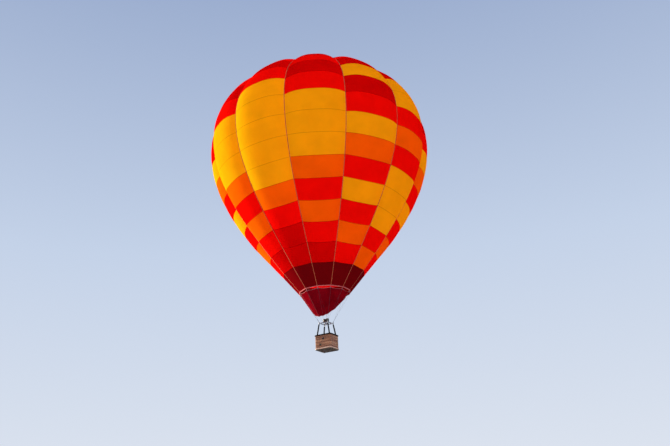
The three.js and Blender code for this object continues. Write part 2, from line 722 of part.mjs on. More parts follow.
function roundedFrame(x, y, corner, wall, from, to) {
  const shape = roundedRectangle(new THREE.Shape(), x, y, corner);
  shape.holes.push(roundedRectangle(new THREE.Path(), x - 2 * wall, y - 2 * wall, corner - wall));
  const settings = { depth: to - from, bevelEnabled: false, curveSegments: CORNER_STEPS };
  return new THREE.ExtrudeGeometry(shape, settings).translate(0, 0, from);
}

const floorBottom = RUNNER_HEIGHT + GAP;
const wallBottom = floorBottom + FLOOR_THICKNESS + GAP;

// Wicker walls with a post in each corner and step holes in the wide walls
const wallParts = [roundedFrame(BASKET_X, BASKET_Y, BASKET_CORNER, WALL, wallBottom, WALL_TOP)];
for (const corner of CORNERS) {
  const azimuth = THREE.MathUtils.degToRad(corner.azimuth);
  const x = POST_X * Math.sign(Math.cos(azimuth));
  const y = POST_Y * Math.sign(Math.sin(azimuth));
  const postFoot = new THREE.Vector3(x, y, wallBottom);
  const postHead = new THREE.Vector3(x, y, POST_TOP);
  wallParts.push(rod(postFoot, postHead, POST_RADIUS, COVER_SIDES));
  const web = new THREE.BoxGeometry(POST_RADIUS * 2, WEB_THICKNESS, POST_TOP - wallBottom);
  web.rotateZ(Math.atan2(y, x));
  const webX = x + Math.sign(x) * WEB_OFFSET;
  const webY = y + Math.sign(y) * WEB_OFFSET;
  wallParts.push(web.translate(webX, webY, (POST_TOP + wallBottom) / 2));
}
const stepHoles = STEPS.map((step) => (
  boxAt(STEP_WIDTH, 2 * BASKET_Y, STEP_HEIGHT, new THREE.Vector3(step.across, 0, step.up))
));
addPart('basket_wall', cut(join(wallParts), stepHoles), FINISHES.wicker);

// Padded rim on top of the wall
function rimRing() {
  const path = roundedRectangle(new THREE.Path(), BASKET_X - WALL, BASKET_Y - WALL, BASKET_CORNER - WALL / 2);
  const line = path.getPoints(CORNER_STEPS).slice(0, -1);
  const middle = WALL_TOP + GAP + RIM_HEIGHT / 2;
  const rings = [];
  line.forEach((point, index) => {
    const before = line[(index + line.length - 1) % line.length];
    const after = line[(index + 1) % line.length];
    if (point.distanceTo(after) < MERGE_TOLERANCE) return;
    const tangent = after.clone().sub(before).normalize();
    const outward = new THREE.Vector2(tangent.y, -tangent.x);
    const section = [];
    for (let corner = 0; corner < RIM_SIDES; corner += 1) {
      const turn = (2 * Math.PI * (corner + 0.5)) / RIM_SIDES;
      const reach = (RIM_WIDTH / 2) * Math.cos(turn);
      const lift = Math.max((RIM_HEIGHT / 2) * -Math.sin(turn) * RIM_FULLNESS, -RIM_HEIGHT / 2);
      const across = point.clone().addScaledVector(outward, reach);
      section.push(new THREE.Vector3(across.x, across.y, middle + lift));
    }
    rings.push(section);
  });
  return loft(rings, true);
}
addPart('basket_rim', rimRing(), FINISHES.suede);

// Pale skirt round the foot of the wall
addPart(
  'basket_skirt',
  roundedFrame(
    BASKET_X + 2 * (SKIRT_THICKNESS + GAP),
    BASKET_Y + 2 * (SKIRT_THICKNESS + GAP),
    BASKET_CORNER + SKIRT_THICKNESS + GAP,
    SKIRT_THICKNESS,
    wallBottom,
    wallBottom + SKIRT_HEIGHT,
  ),
  FINISHES.rawhide,
);

// Floor board and the runners under it
const floorShape = roundedRectangle(
  new THREE.Shape(),
  BASKET_X + 2 * FLOOR_OVERHANG,
  BASKET_Y + 2 * FLOOR_OVERHANG,
  BASKET_CORNER + FLOOR_OVERHANG,
);
const floorBoard = new THREE.ExtrudeGeometry(floorShape, {
  depth: FLOOR_THICKNESS,
  bevelEnabled: false,
  curveSegments: CORNER_STEPS,
});
addPart('basket_floor', floorBoard.translate(0, 0, floorBottom), FINISHES.plywood);
for (let index = 0; index < RUNNERS; index += 1) {
  const y = (BASKET_Y / 2 - RUNNER_INSET_Y) * ((2 * index) / (RUNNERS - 1) - 1);
  const middle = new THREE.Vector3(0, y, RUNNER_HEIGHT / 2);
  const runner = boxAt(BASKET_X - 2 * RUNNER_INSET_X, RUNNER_WIDTH, RUNNER_HEIGHT, middle);
  addPart(`runner_${index + 1}`, runner, FINISHES.hardwood);
}

// Fuel cylinders: dished ends on a foot ring, with a guard collar round the valve
function fuelCylinder() {
  const r = CYLINDER_RADIUS;
  const h = CYLINDER_HEIGHT;
  const dish = UPPER_DISH;
  const collarInside = r * (dish.share - COLLAR_WALL_SHARE);
  const outline = [
    new THREE.Vector2(0, 0),
    new THREE.Vector2(r * FOOT_SHARE, 0),
    new THREE.Vector2(r * FOOT_SHARE, FOOT_HEIGHT),
    new THREE.Vector2(r, LOWER_DISH),
    new THREE.Vector2(r, h - dish.start),
    new THREE.Vector2((r * (1 + dish.share)) / 2, h - (dish.start + 2 * dish.end) / 3),
    new THREE.Vector2(r * dish.share, h - dish.end),
    new THREE.Vector2(r * dish.share, h),
    new THREE.Vector2(collarInside, h),
    new THREE.Vector2(collarInside, h - dish.end),
    new THREE.Vector2(r * VALVE_BODY_SHARE, h - dish.end),
    new THREE.Vector2(r * VALVE_BODY_SHARE, h - VALVE_BODY_DROP),
    new THREE.Vector2(0, h - VALVE_BODY_DROP),
  ];
  return new THREE.LatheGeometry(outline, ROUND_SIDES).rotateX(Math.PI / 2);
}
let cylinderNumber = 0;
for (const sideX of [-1, 1]) {
  for (const sideY of [-1, 1]) {
    cylinderNumber += 1;
    const cylinder = fuelCylinder().translate(sideX * CYLINDER_X, sideY * CYLINDER_Y, wallBottom);
    addPart(`fuel_cylinder_${cylinderNumber}`, cylinder, FINISHES.cylinderSteel);
  }
}

// The origin is the air mount: on the axis, at the height of the centre of buoyancy
balloon.position.z = -AIR_HEIGHT;
balloon.updateMatrixWorld(true);

export default balloon;
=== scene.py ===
"""A striped hot air balloon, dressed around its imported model.

Lengths are in metres and +Z is up. The origin lies on the balloon's upright axis at its centre of buoyancy,
14.8 m above the underside of the basket.
"""

import logging
from collections.abc import Iterable, Sequence
from dataclasses import dataclass, field
from enum import Enum, IntEnum
from math import atan2, copysign, cos, exp, hypot, pi, radians, sin, sqrt
from typing import Any

import bmesh
import bpy
import numpy as np
from bpy.types import ID, Material, Node, NodeSocket, NodeTree, Object
from mathutils import Matrix, Vector


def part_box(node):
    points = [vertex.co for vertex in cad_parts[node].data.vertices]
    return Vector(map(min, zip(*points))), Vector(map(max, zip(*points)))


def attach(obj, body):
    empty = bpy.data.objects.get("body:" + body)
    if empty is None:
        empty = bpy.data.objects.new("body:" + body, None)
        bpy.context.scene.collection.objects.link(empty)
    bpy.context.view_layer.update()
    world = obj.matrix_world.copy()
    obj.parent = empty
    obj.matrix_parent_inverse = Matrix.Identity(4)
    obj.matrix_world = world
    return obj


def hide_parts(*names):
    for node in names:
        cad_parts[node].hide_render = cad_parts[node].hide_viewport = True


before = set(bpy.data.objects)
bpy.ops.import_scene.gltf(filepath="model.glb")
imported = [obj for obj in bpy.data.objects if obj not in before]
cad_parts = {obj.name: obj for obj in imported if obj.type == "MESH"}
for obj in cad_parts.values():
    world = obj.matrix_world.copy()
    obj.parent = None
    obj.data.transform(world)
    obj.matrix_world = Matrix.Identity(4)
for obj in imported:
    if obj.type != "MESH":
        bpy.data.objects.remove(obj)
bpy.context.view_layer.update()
log = logging.getLogger("balloon")

Point = Sequence[float]
Outline = Sequence[tuple[float, float]]
Source = Node | NodeSocket
UP = np.array([0.0, 0.0, 1.0])
# A direction with a larger share along an axis counts as running along it
NEAR_AXIS = 0.9
# Heights of the runners' underside, of what stands on the floor board, and of the load frame's tubes
UNDERSIDE = -14.8
ON_FLOOR = UNDERSIDE + 0.0608
FRAME_HEIGHT = UNDERSIDE + 1.98
# Half the load frame's width, its sockets' rise above its tubes, and where the basket's posts stand
HALF_FRAME = 0.37
SOCKET_RISE = 0.04
POST_X, POST_Y = 0.54, 0.455
# The gap left where one piece is seated on another
GAP = 0.0004


class Body(str, Enum):
    """The bodies that pieces ride on."""

    BALLOON = "balloon"
    VALVE = "valve"
    GIMBAL = "gimbal"
    BURNER = "burner"


# Small tools for directions and sections


def direction(azimuth: float) -> np.ndarray:
    """The level unit vector at an azimuth in radians, from +X towards +Y."""
    return np.array([cos(azimuth), sin(azimuth), 0.0])


def turns(count: int) -> np.ndarray:
    """Evenly spaced angles round a circle, in radians."""
    return 2 * pi * np.arange(count) / count


def level_ring(centre: Point, radius: float, count: int) -> np.ndarray:
    """Evenly spaced points round a level circle."""
    return np.array([np.array(centre, float) + radius * direction(turn) for turn in turns(count)])


def unit(vectors: np.ndarray) -> np.ndarray:
    """Vectors scaled to length one, row by row."""
    return vectors / np.maximum(np.linalg.norm(vectors, axis=-1, keepdims=True), 1e-12)


def circle(radius: float, sides: int) -> np.ndarray:
    """Points of a round section, as side and normal offsets."""
    return radius * np.stack([np.cos(turns(sides)), np.sin(turns(sides))], axis=1)


def rounded_rectangle(width: float, height: float, corner: float, steps: int = 3) -> np.ndarray:
    """Points of a rectangle with round corners.

    Args:
        width: Its size along the first axis.
        height: Its size along the second axis.
        corner: The corners' radius.
        steps: Segments in each corner.

    Returns:
        The outline's points, counterclockwise.
    """
    points = []
    for quarter, (right, up) in enumerate([(1, 1), (-1, 1), (-1, -1), (1, -1)]):
        for step in range(steps + 1):
            turn = (quarter + step / steps) * pi / 2
            points.append((right * (width / 2 - corner) + corner * cos(turn),
                           up * (height / 2 - corner) + corner * sin(turn)))
    return np.array(points)


def smooth_path(points: Sequence[Point], spacing: float) -> np.ndarray:
    """A smooth line through chosen points.

    Args:
        points: The points that the line passes.
        spacing: About how far apart the returned points lie.

    Returns:
        Points along a curve that passes smoothly through the chosen ones.
    """
    given = np.array(points, float)
    padded = np.vstack([2 * given[0] - given[1], given, 2 * given[-1] - given[-2]])
    line = []
    for a, b, c, d in zip(padded, padded[1:], padded[2:], padded[3:]):
        count = max(2, round(float(np.linalg.norm(c - b)) / spacing))
        for t in np.arange(count) / count:
            line.append(0.5 * (2 * b + (c - a) * t + (2 * a - 5 * b + 4 * c - d) * t**2
                               + (3 * b - a - 3 * c + d) * t**3))
    return np.array([*line, given[-1]])


def frames_along(path: np.ndarray, closed: bool, up: Point | None) -> tuple[np.ndarray, np.ndarray]:
    """Side and normal directions that follow a path without twisting.

    Args:
        path: The points of the path.
        closed: True for a path that ends where it starts.
        up: A direction that the normals stay close to, or None to carry the first normal along.

    Returns:
        The side and the normal at each point.
    """
    ends = np.roll(path, -1, axis=0) - np.roll(path, 1, axis=0) if closed else np.gradient(path, axis=0)
    tangents = unit(ends)
    if up is not None:
        sides = unit(np.cross(tangents, np.array(up, float)))
        return sides, unit(np.cross(sides, tangents))
    carried = UP if abs(tangents[0][2]) < NEAR_AXIS else np.array([1.0, 0, 0])
    normals = []
    for tangent in tangents:
        carried = unit(carried - tangent * (carried @ tangent))
        normals.append(carried)
    return unit(np.cross(tangents, np.array(normals))), np.array(normals)


def add_object(name: str, data: ID) -> Object:
    """Puts an object with its mesh, camera or light in the scene."""
    thing = bpy.data.objects.new(name, data)
    bpy.context.scene.collection.objects.link(thing)
    return thing


@dataclass
class Skin:
    """Points and faces of one piece, gathered before they become a mesh."""

    points: list[np.ndarray] = field(default_factory=list)
    faces: list[list[int]] = field(default_factory=list)
    corners: list[np.ndarray] = field(default_factory=list)
    marks: list[int] = field(default_factory=list)
    count: int = 0

    def grid(self, rows: np.ndarray, mark: int | np.ndarray = 0, around: bool = False, closed: bool = False,
             across: np.ndarray | None = None, along: np.ndarray | None = None) -> int:
        """Adds quads between rows of points.

        Args:
            rows: Points as an array of rows, columns and coordinates.
            mark: The material's place, one for all quads or one for each row of quads.
            around: True where the last column joins the first.
            closed: True where the last row joins the first.
            across: Pattern coordinate of each column, one more than the columns where they join.
            along: Pattern coordinate of each row, one more than the rows where they join.

        Returns:
            The number of the first point added.
        """
        height, width = rows.shape[:2]
        base = self.count
        self.points.append(rows.reshape(-1, 3))
        self.count += height * width
        quads_up, quads_across = height - 1 + int(closed), width - 1 + int(around)
        i, j = np.meshgrid(np.arange(quads_up), np.arange(quads_across), indexing="ij")
        u = np.arange(quads_across + 1.0) if across is None else np.asarray(across, float)
        v = np.arange(quads_up + 1.0) if along is None else np.asarray(along, float)
        numbers, pattern = [], []
        for up, right in ((0, 0), (0, 1), (1, 1), (1, 0)):
            numbers.append(base + (i + up) % height * width + (j + right) % width)
            pattern.append(np.stack([u[j + right], v[i + up]], axis=-1))
        self.faces += np.stack(numbers, axis=-1).reshape(-1, 4).tolist()
        self.corners.append(np.stack(pattern, axis=2).reshape(-1, 2))
        self.marks += np.repeat(np.broadcast_to(np.asarray(mark), (quads_up,)), quads_across).tolist()
        return base

    def fan(self, indices: Sequence[int], mark: int = 0) -> None:
        """Adds one flat face with many corners."""
        self.faces.append(list(indices))
        self.corners.append(np.zeros((len(indices), 2)))
        self.marks.append(mark)

    def loft(self, rings: np.ndarray, mark: int = 0, closed: bool = False) -> None:
        """Adds a bar through rings of points, with flat ends unless it closes on itself.

        Args:
            rings: The rings, each with the same count of points.
            mark: The material's place.
            closed: True where the last ring joins the first.
        """
        count_rings, count = rings.shape[:2]
        girth = np.linalg.norm(np.roll(rings[0], -1, axis=0) - rings[0], axis=1)
        middles = rings.mean(axis=1)
        steps = np.linalg.norm(np.roll(middles, -1, axis=0) - middles, axis=1)
        across, along = [np.concatenate([[0], np.cumsum(lengths)]) for lengths in (girth, steps)]
        base = self.grid(rings, mark, True, closed, across, along[:count_rings + int(closed)])
        if not closed:
            first = range(base, base + count)
            self.fan(first[::-1], mark)
            self.fan([number + (count_rings - 1) * count for number in first], mark)

    def sweep(self, path: np.ndarray, section: np.ndarray, mark: int = 0, closed: bool = False,
              up: Point | None = None) -> None:
        """Adds a bar that carries a section along a path.

        Args:
            path: The points of the path.
            section: The section's points, as side and normal offsets.
            mark: The material's place.
            closed: True for a path that ends where it starts.
            up: A direction that the section's normal stays close to.
        """
        sides, normals = frames_along(path, closed, up)
        offsets = sides[:, None] * section[None, :, :1] + normals[:, None] * section[None, :, 1:]
        self.loft(path[:, None] + offsets, mark, closed)

    def tube(self, path: Iterable[Point], radius: float, sides: int = 12, mark: int = 0,
             closed: bool = False) -> None:
        """Adds a round bar of one radius along a path."""
        self.sweep(np.array(list(path), float), circle(radius, sides), mark, closed)

    def lathe(self, outline: Outline, origin: Point, axis: Point = (0, 0, 1), sides: int = 32, mark: int = 0,
              closed: bool = False) -> None:
        """Adds a turned piece.

        Args:
            outline: Radius and height of each point, none of them on the axis.
            origin: Where height 0 lies.
            axis: The turning axis.
            sides: Flats round the piece.
            mark: The material's place.
            closed: True where the outline closes on itself, as on a ring.
        """
        main = unit(np.array(axis, float))
        side = unit(np.cross(main, [1.0, 0, 0] if abs(main[0]) < NEAR_AXIS else [0, 1.0, 0]))
        spokes = circle(1, sides) @ np.array([side, np.cross(main, side)])
        rings = np.array([radius * spokes + height * main for radius, height in outline])
        self.loft(rings + origin, mark, closed)

    def block(self, centre: Point, size: Point, bevel: float, mark: int = 0, turn: float = 0.0,
              tilt: float = 0.0) -> None:
        """Adds a box with rounded upright edges and bevelled ends.

        Args:
            centre: Its middle.
            size: Its size along X, Y and Z before it is turned.
            bevel: Radius of its edges.
            mark: The material's place.
            turn: Turn about Z in radians, after the tilt.
            tilt: Turn about Y in radians.
        """
        rings = []
        for height, inset in [(-0.5, bevel), (-0.5, 0), (0.5, 0), (0.5, bevel)]:
            lift = height * size[2] + (0 if inset else -copysign(bevel, height))
            corner = bevel / 2 if inset else bevel
            outline = rounded_rectangle(size[0] - 2 * inset, size[1] - 2 * inset, corner)
            rings.append(np.column_stack([outline, np.full(len(outline), lift)]))
        turned = np.array(Matrix.Rotation(turn, 3, "Z") @ Matrix.Rotation(tilt, 3, "Y"))
        self.loft(np.array(rings) @ turned.T + np.array(centre, float), mark)

    def piece(self, name: str, materials: Sequence[Material], slot: str, *replaced: str,
              body: Body = Body.BALLOON, sheet: bool = False, crisp: float = 40.0) -> Object:
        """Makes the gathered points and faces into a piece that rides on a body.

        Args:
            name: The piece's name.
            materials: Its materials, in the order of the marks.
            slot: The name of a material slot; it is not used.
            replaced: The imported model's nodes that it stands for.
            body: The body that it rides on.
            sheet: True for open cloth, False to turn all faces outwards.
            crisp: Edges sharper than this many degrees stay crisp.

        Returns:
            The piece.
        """
        mesh = bpy.data.meshes.new(name)
        mesh.from_pydata(np.vstack(self.points).tolist(), [], self.faces)
        layer = mesh.uv_layers.new(name="pattern")
        layer.data.foreach_set("uv", np.vstack(self.corners).astype(np.float32).ravel())
        mesh.polygons.foreach_set("material_index", np.array(self.marks, np.int32))
        if not sheet:
            edit = bmesh.new()
            edit.from_mesh(mesh)
            bmesh.ops.recalc_face_normals(edit, faces=edit.faces)
            edit.to_mesh(mesh)
            edit.free()
        mesh.polygons.foreach_set("use_smooth", np.ones(len(mesh.polygons), bool))
        mesh.set_sharp_from_angle(angle=pi if sheet else radians(crisp))
        mesh.update()
        for material in materials:
            mesh.materials.append(material)
        piece = add_object(name, mesh)
        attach(piece, body.value)
        if replaced:
            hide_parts(*replaced)
        log.info("%s: %d faces", name, len(mesh.polygons))
        return piece


# Finishes: what each surface is made of


def srgb(code: str) -> tuple[float, float, float, float]:
    """Turns a hex colour to linear light.

    Args:
        code: The colour as #RRGGBB in sRGB.

    Returns:
        Red, green, blue and alpha as a shader reads them.
    """
    shares = [int(code[at:at + 2], 16) / 255 for at in (1, 3, 5)]
    linear = [s / 12.92 if s <= 0.04045 else ((s + 0.055) / 1.055) ** 2.4 for s in shares]
    return (*linear, 1.0)


BLACK = srgb("#000000")
WHITE = srgb("#FFFFFF")


@dataclass
class Nodes:
    """The nodes of one material, or of the sky."""

    tree: NodeTree

    def feed(self, node: Node, inputs: dict[str | int, Any]) -> None:
        """Gives inputs of a node, by name or place, a value, an output, or the first output of a node."""
        for name, value in inputs.items():
            source = value.outputs[0] if isinstance(value, Node) else value
            if isinstance(source, NodeSocket):
                self.tree.links.new(source, node.inputs[name])
            else:
                node.inputs[name].default_value = source

    def add(self, kind: str, inputs: dict[str | int, Any] | None = None, **settings: Any) -> Node:
        """Adds a node with its settings and links.

        Args:
            kind: The node's type name after ShaderNode, such as TexNoise.
            inputs: Input names or places, each with a value or with what feeds it.
            settings: Properties of the node and their values.

        Returns:
            The new node.
        """
        node = self.tree.nodes.new("ShaderNode" + kind)
        for name, value in settings.items():
            setattr(node, name, value)
        self.feed(node, inputs or {})
        return node

    def pattern(self, across: float = 1, along: float = 1) -> NodeSocket:
        """Coordinates in metres across and along a piece's surface, times repeats per metre."""
        where = self.add("UVMap", uv_map="pattern")
        return self.add("Mapping", {"Vector": where, "Scale": (across, along, 1)}).outputs[0]

    def place(self, *scale: float) -> NodeSocket:
        """Coordinates in metres along X, Y and Z, times repeats per metre where they are given."""
        where = self.add("TexCoord").outputs["Object"]
        return self.add("Mapping", {"Vector": where, "Scale": scale or (1, 1, 1)}).outputs[0]

    def shade(self, share: Source, *stops: tuple[float, str]) -> NodeSocket:
        """A colour that runs between stops as a share rises.

        Args:
            share: What picks the colour, from 0 to 1.
            stops: Places from 0 to 1, each with its hex colour.

        Returns:
            The colour.
        """
        ramp = self.add("ValToRGB", {"Fac": share})
        while len(ramp.color_ramp.elements) < len(stops):
            ramp.color_ramp.elements.new(0.5)
        for element, (at, code) in zip(ramp.color_ramp.elements, stops):
            element.position = at
            element.color = srgb(code)
        return ramp.outputs["Color"]

    def raise_by(self, shader: Node, height: Source, depth: float, strength: float = 0.6) -> NodeSocket:
        """Gives a shader a bump.

        Args:
            shader: The shader that gets it.
            height: The height, from 0 to 1.
            depth: What a height of 1 stands for, in metres.
            strength: How much of it shows.

        Returns:
            The bumped normal.
        """
        bump = self.add("Bump", {"Height": height, "Distance": depth, "Strength": strength})
        self.feed(shader, {"Normal": bump.outputs["Normal"]})
        return bump.outputs["Normal"]

    def let_through(self, shader: Node, light: dict[str, Any], share: float) -> None:
        """Mixes light that comes through a cloth with what its shader sends back.

        Args:
            shader: The cloth's shader.
            light: The colour and the normal of the light that comes through.
            share: Its share of the whole.
        """
        glow = self.add("BsdfTranslucent", light)
        mixed = self.add("MixShader", {0: share, 1: shader, 2: glow})
        self.feed(self.tree.nodes["Material Output"], {"Surface": mixed})


@dataclass(frozen=True)
class Finish:
    """A surface finish that becomes one material."""

    title: str

    def paint(self, nodes: Nodes, shader: Node) -> None:
        """Adds the finish's own nodes.

        Args:
            nodes: The material's nodes.
            shader: Its Principled node.
        """
        raise NotImplementedError

    def make(self) -> Material:
        """Makes the material."""
        material = bpy.data.materials.new(self.title)
        material.use_nodes = True
        nodes = Nodes(material.node_tree)
        self.paint(nodes, next(node for node in nodes.tree.nodes if node.type == "BSDF_PRINCIPLED"))
        return material


@dataclass(frozen=True)
class RipstopNylon(Finish):
    """Coated ripstop nylon: thin woven cloth, whose colour is deeper in the light that comes through it."""

    colour: str
    glow: str
    through: float

    def paint(self, nodes: Nodes, shader: Node) -> None:
        """Mixes what the cloth sends back and what it lets through."""
        # The coating's wear differs softly over about 1.5 m
        cloud = nodes.add("TexNoise", {
            "Vector": nodes.place(), "Scale": 0.7, "Detail": 3.0, "Roughness": 0.55})
        wear = nodes.add("MapRange", {
            "Value": cloud, "From Min": 0.3, "From Max": 0.65, "To Min": 0.9})
        tones = []
        for code in (self.colour, self.glow):
            tone = nodes.add("Mix", {"Factor": wear, "A": BLACK, "B": srgb(code)},
                             data_type="RGBA")
            tones.append(tone.outputs["Result"])
        # Ripstop cords stand 5 mm apart on the cloth, drawn here 40 mm apart so that they show
        grid = nodes.add("TexBrick", {
            "Vector": nodes.pattern(25, 25), "Scale": 1.0, "Mortar Size": 0.05, "Brick Width": 1.0,
            "Row Height": 1.0, "Color1": BLACK, "Color2": BLACK, "Mortar": WHITE}, offset=0.0, squash=1.0)
        # Soft creases of cloth that is packed in a bag, 0.2 to 0.5 m across
        crease = nodes.add("TexNoise", {
            "Vector": nodes.place(), "Scale": 3.2, "Detail": 4.0, "Roughness": 0.5, "Distortion": 0.6})
        height = nodes.add("Math", {0: grid, 1: 0.03, 2: crease},
                           operation="MULTIPLY_ADD")
        normal = nodes.raise_by(shader, height, 0.02, 0.35)
        nodes.feed(shader, {"Base Color": tones[0], "Roughness": 0.58, "Specular IOR Level": 0.0})
        nodes.let_through(shader, {"Color": tones[1], "Normal": normal}, self.through)


@dataclass(frozen=True)
class Webbing(Finish):
    """Woven polyester webbing: flat ribs across the strap and a row of stitches near each edge."""

    colour: str = "#C24A24"
    shadow: str = "#A23A1E"
    stitch: str = "#DC8660"
    width: float = 0.04

    def paint(self, nodes: Nodes, shader: Node) -> None:
        """Adds ribs, blotches and stitches."""
        # Ribs of 2 mm webbing yarn, drawn 8 mm apart so that they show
        ribs = nodes.add("TexWave", {"Vector": nodes.pattern(), "Scale": 20.0, "Distortion": 0.4},
                         bands_direction="Y", wave_profile="SIN")
        blotch = nodes.add("TexNoise", {"Vector": nodes.place(), "Scale": 6.0, "Detail": 3.0})
        colour = nodes.shade(blotch, (0.35, self.shadow), (0.65, self.colour))
        # A stitch every 12 mm, drawn 25 mm long so that it shows
        dots = nodes.add("TexBrick", {
            "Vector": nodes.pattern(2 / self.width, 40), "Scale": 1.0, "Mortar Size": 0.05,
            "Brick Width": 1.0, "Row Height": 1.0, "Color1": WHITE, "Color2": WHITE,
            "Mortar": BLACK}, offset=0.0)
        thread = nodes.add("Mix", {"Factor": dots, "A": srgb(self.stitch), "B": colour},
                           data_type="RGBA")
        nodes.raise_by(shader, ribs, 0.0015)
        nodes.feed(shader, {
            "Base Color": thread.outputs["Result"], "Roughness": 0.7, "Specular IOR Level": 0.15})


@dataclass(frozen=True)
class AramidCloth(Finish):
    """Flame-resistant aramid cloth, dyed: a dull plain weave that lets a little light through."""

    colour: str = "#8C0614"
    shadow: str = "#72020E"
    glow: str = "#580008"
    through: float = 0.2

    def paint(self, nodes: Nodes, shader: Node) -> None:
        """Mixes what the cloth sends back and what it lets through."""
        cloud = nodes.add("TexNoise", {
            "Vector": nodes.place(), "Scale": 1.6, "Detail": 5.0, "Roughness": 0.6})
        colour = nodes.shade(cloud, (0.3, self.shadow), (0.66, self.colour))
        # Plain weave of 0.5 mm yarn, drawn 10 mm apart so that it shows
        weave = nodes.add("TexChecker", {"Vector": nodes.pattern(), "Scale": 100.0})
        folds = nodes.add("TexNoise", {
            "Vector": nodes.place(), "Scale": 5.0, "Detail": 3.0, "Distortion": 0.8})
        height = nodes.add("Math", {0: weave.outputs["Fac"], 1: 0.05, 2: folds},
                           operation="MULTIPLY_ADD")
        normal = nodes.raise_by(shader, height, 0.015, 0.5)
        nodes.feed(shader, {"Base Color": colour, "Roughness": 0.8, "Specular IOR Level": 0.0})
        nodes.let_through(shader, {"Color": srgb(self.glow), "Normal": normal}, self.through)


@dataclass(frozen=True)
class BrushedMetal(Finish):
    """Metal with fine brush lines along it, a little darker where hands and heat have been."""

    colour: str
    shadow: str
    roughness: float

    def paint(self, nodes: Nodes, shader: Node) -> None:
        """Adds brush lines and stains."""
        # Brush lines of 180 grit, about 0.1 mm wide, drawn 4 mm wide and 0.3 m long so that they show
        brush = nodes.add("TexNoise", {"Vector": nodes.pattern(120, 3), "Scale": 2.0, "Detail": 4.0})
        stain = nodes.add("TexNoise", {
            "Vector": nodes.place(), "Scale": 9.0, "Detail": 5.0, "Roughness": 0.6})
        rough = nodes.add("MapRange", {
            "Value": brush, "To Min": self.roughness - 0.08,
            "To Max": self.roughness + 0.12})
        colour = nodes.shade(stain, (0.32, self.shadow), (0.6, self.colour))
        nodes.raise_by(shader, brush, 0.0004)
        nodes.feed(shader, {"Base Color": colour, "Roughness": rough, "Metallic": 1.0})


@dataclass(frozen=True)
class WireRope(Finish):
    """Stainless wire rope: strands laid in a helix, painted darker in the grooves between them as painted
    shade.
    """

    def paint(self, nodes: Nodes, shader: Node) -> None:
        """Adds the strands, with painted shade in the grooves between them."""
        # Six strands over a girth of 25 mm, with a lay of 50 mm, drawn coarse so that they show
        lay = nodes.add("TexWave", {"Vector": nodes.pattern(240, 60), "Scale": 0.5},
                        bands_direction="DIAGONAL", wave_profile="SIN")
        # The grooves between the strands are painted dark and their crowns light, as painted shade; the same
        # lay also drives the bump
        colour = nodes.shade(lay, (0.1, "#1C1E22"), (0.7, "#585C62"))
        nodes.raise_by(shader, lay, 0.001, 0.9)
        nodes.feed(shader, {"Base Color": colour, "Metallic": 1.0, "Roughness": 0.34})


@dataclass(frozen=True)
class WovenCover(Finish):
    """Coarse woven nylon over foam, as on padded covers: a basket weave with a dull thread sheen."""

    colour: str = "#030304"
    light: str = "#0A0B0D"

    def paint(self, nodes: Nodes, shader: Node) -> None:
        """Adds the weave and dust."""
        # 1000 denier yarn, 0.8 mm apart, drawn 5 mm apart so that it shows
        weave = nodes.add("TexChecker", {"Vector": nodes.pattern(), "Scale": 200.0})
        dust = nodes.add("TexNoise", {
            "Vector": nodes.place(), "Scale": 12.0, "Detail": 6.0, "Roughness": 0.65})
        colour = nodes.shade(dust, (0.35, self.colour), (0.75, self.light))
        nodes.raise_by(shader, weave.outputs["Fac"], 0.0008, 0.8)
        nodes.feed(shader, {"Base Color": colour, "Roughness": 0.82, "Specular IOR Level": 0.06})


@dataclass(frozen=True)
class Willow(Finish):
    """Varnished willow and cane: each rod has its own brown, with a fine grain along it and a soft shine."""

    dark: str = "#7C4A32"
    middle: str = "#BC7C56"
    light: str = "#E0A87C"

    def paint(self, nodes: Nodes, shader: Node) -> None:
        """Adds the rods' tones and their grain."""
        # One tone for each rod of 14.5 mm, told apart by its height in the wall
        rows = nodes.add("TexNoise", {
            "Vector": nodes.place(0.6, 0.6, 1 / (2.5 * 0.0145)), "Scale": 1.0, "Detail": 1.5,
            "Roughness": 0.7})
        # Broad bands where a basket maker changed to another bundle, about 0.15 m tall
        bands = nodes.add("TexNoise", {"Vector": nodes.place(0.5, 0.5, 6.5), "Scale": 1.0, "Detail": 0.0})
        tone = nodes.add("Math", {0: bands, 1: 0.35, 2: rows},
                         operation="MULTIPLY_ADD")
        share = nodes.add("MapRange", {"Value": tone, "From Min": 0.4, "From Max": 0.95})
        colour = nodes.shade(share, (0.1, self.dark), (0.5, self.middle), (0.9, self.light))
        # Grain streaks 1 mm wide run along the rod
        grain = nodes.add("TexNoise", {"Vector": nodes.pattern(400, 12), "Scale": 1.0, "Detail": 3.0})
        mixed = nodes.add("Mix", {"Factor": 0.35, "A": colour, "B": grain.outputs["Color"]},
                          data_type="RGBA", blend_type="MULTIPLY")
        nodes.raise_by(shader, grain, 0.0006)
        nodes.feed(shader, {"Base Color": mixed.outputs["Result"], "Roughness": 0.48, "Coat Weight": 0.15})


@dataclass(frozen=True)
class Leather(Finish):
    """Tanned hide: pebbled grain and darker patches of wear, dull as suede or waxed as harness leather."""

    colour: str
    shadow: str
    roughness: float
    grain: float = 2.5
    gloss: float = 0.5

    def paint(self, nodes: Nodes, shader: Node) -> None:
        """Adds pebbles of the grain's size in millimetres, and wear."""
        pebbles = nodes.add("TexVoronoi", {
            "Vector": nodes.place(), "Scale": 1000 / self.grain / 2, "Randomness": 0.9}, feature="F1")
        wear = nodes.add("TexNoise", {
            "Vector": nodes.place(), "Scale": 14.0, "Detail": 6.0, "Roughness": 0.65})
        colour = nodes.shade(wear, (0.35, self.shadow), (0.65, self.colour))
        rough = nodes.add("MapRange", {
            "Value": wear, "To Min": self.roughness - 0.1, "To Max": self.roughness + 0.12})
        nodes.raise_by(shader, pebbles, 0.0006, 0.7)
        nodes.feed(shader, {
            "Base Color": colour, "Roughness": rough, "Specular IOR Level": self.gloss})


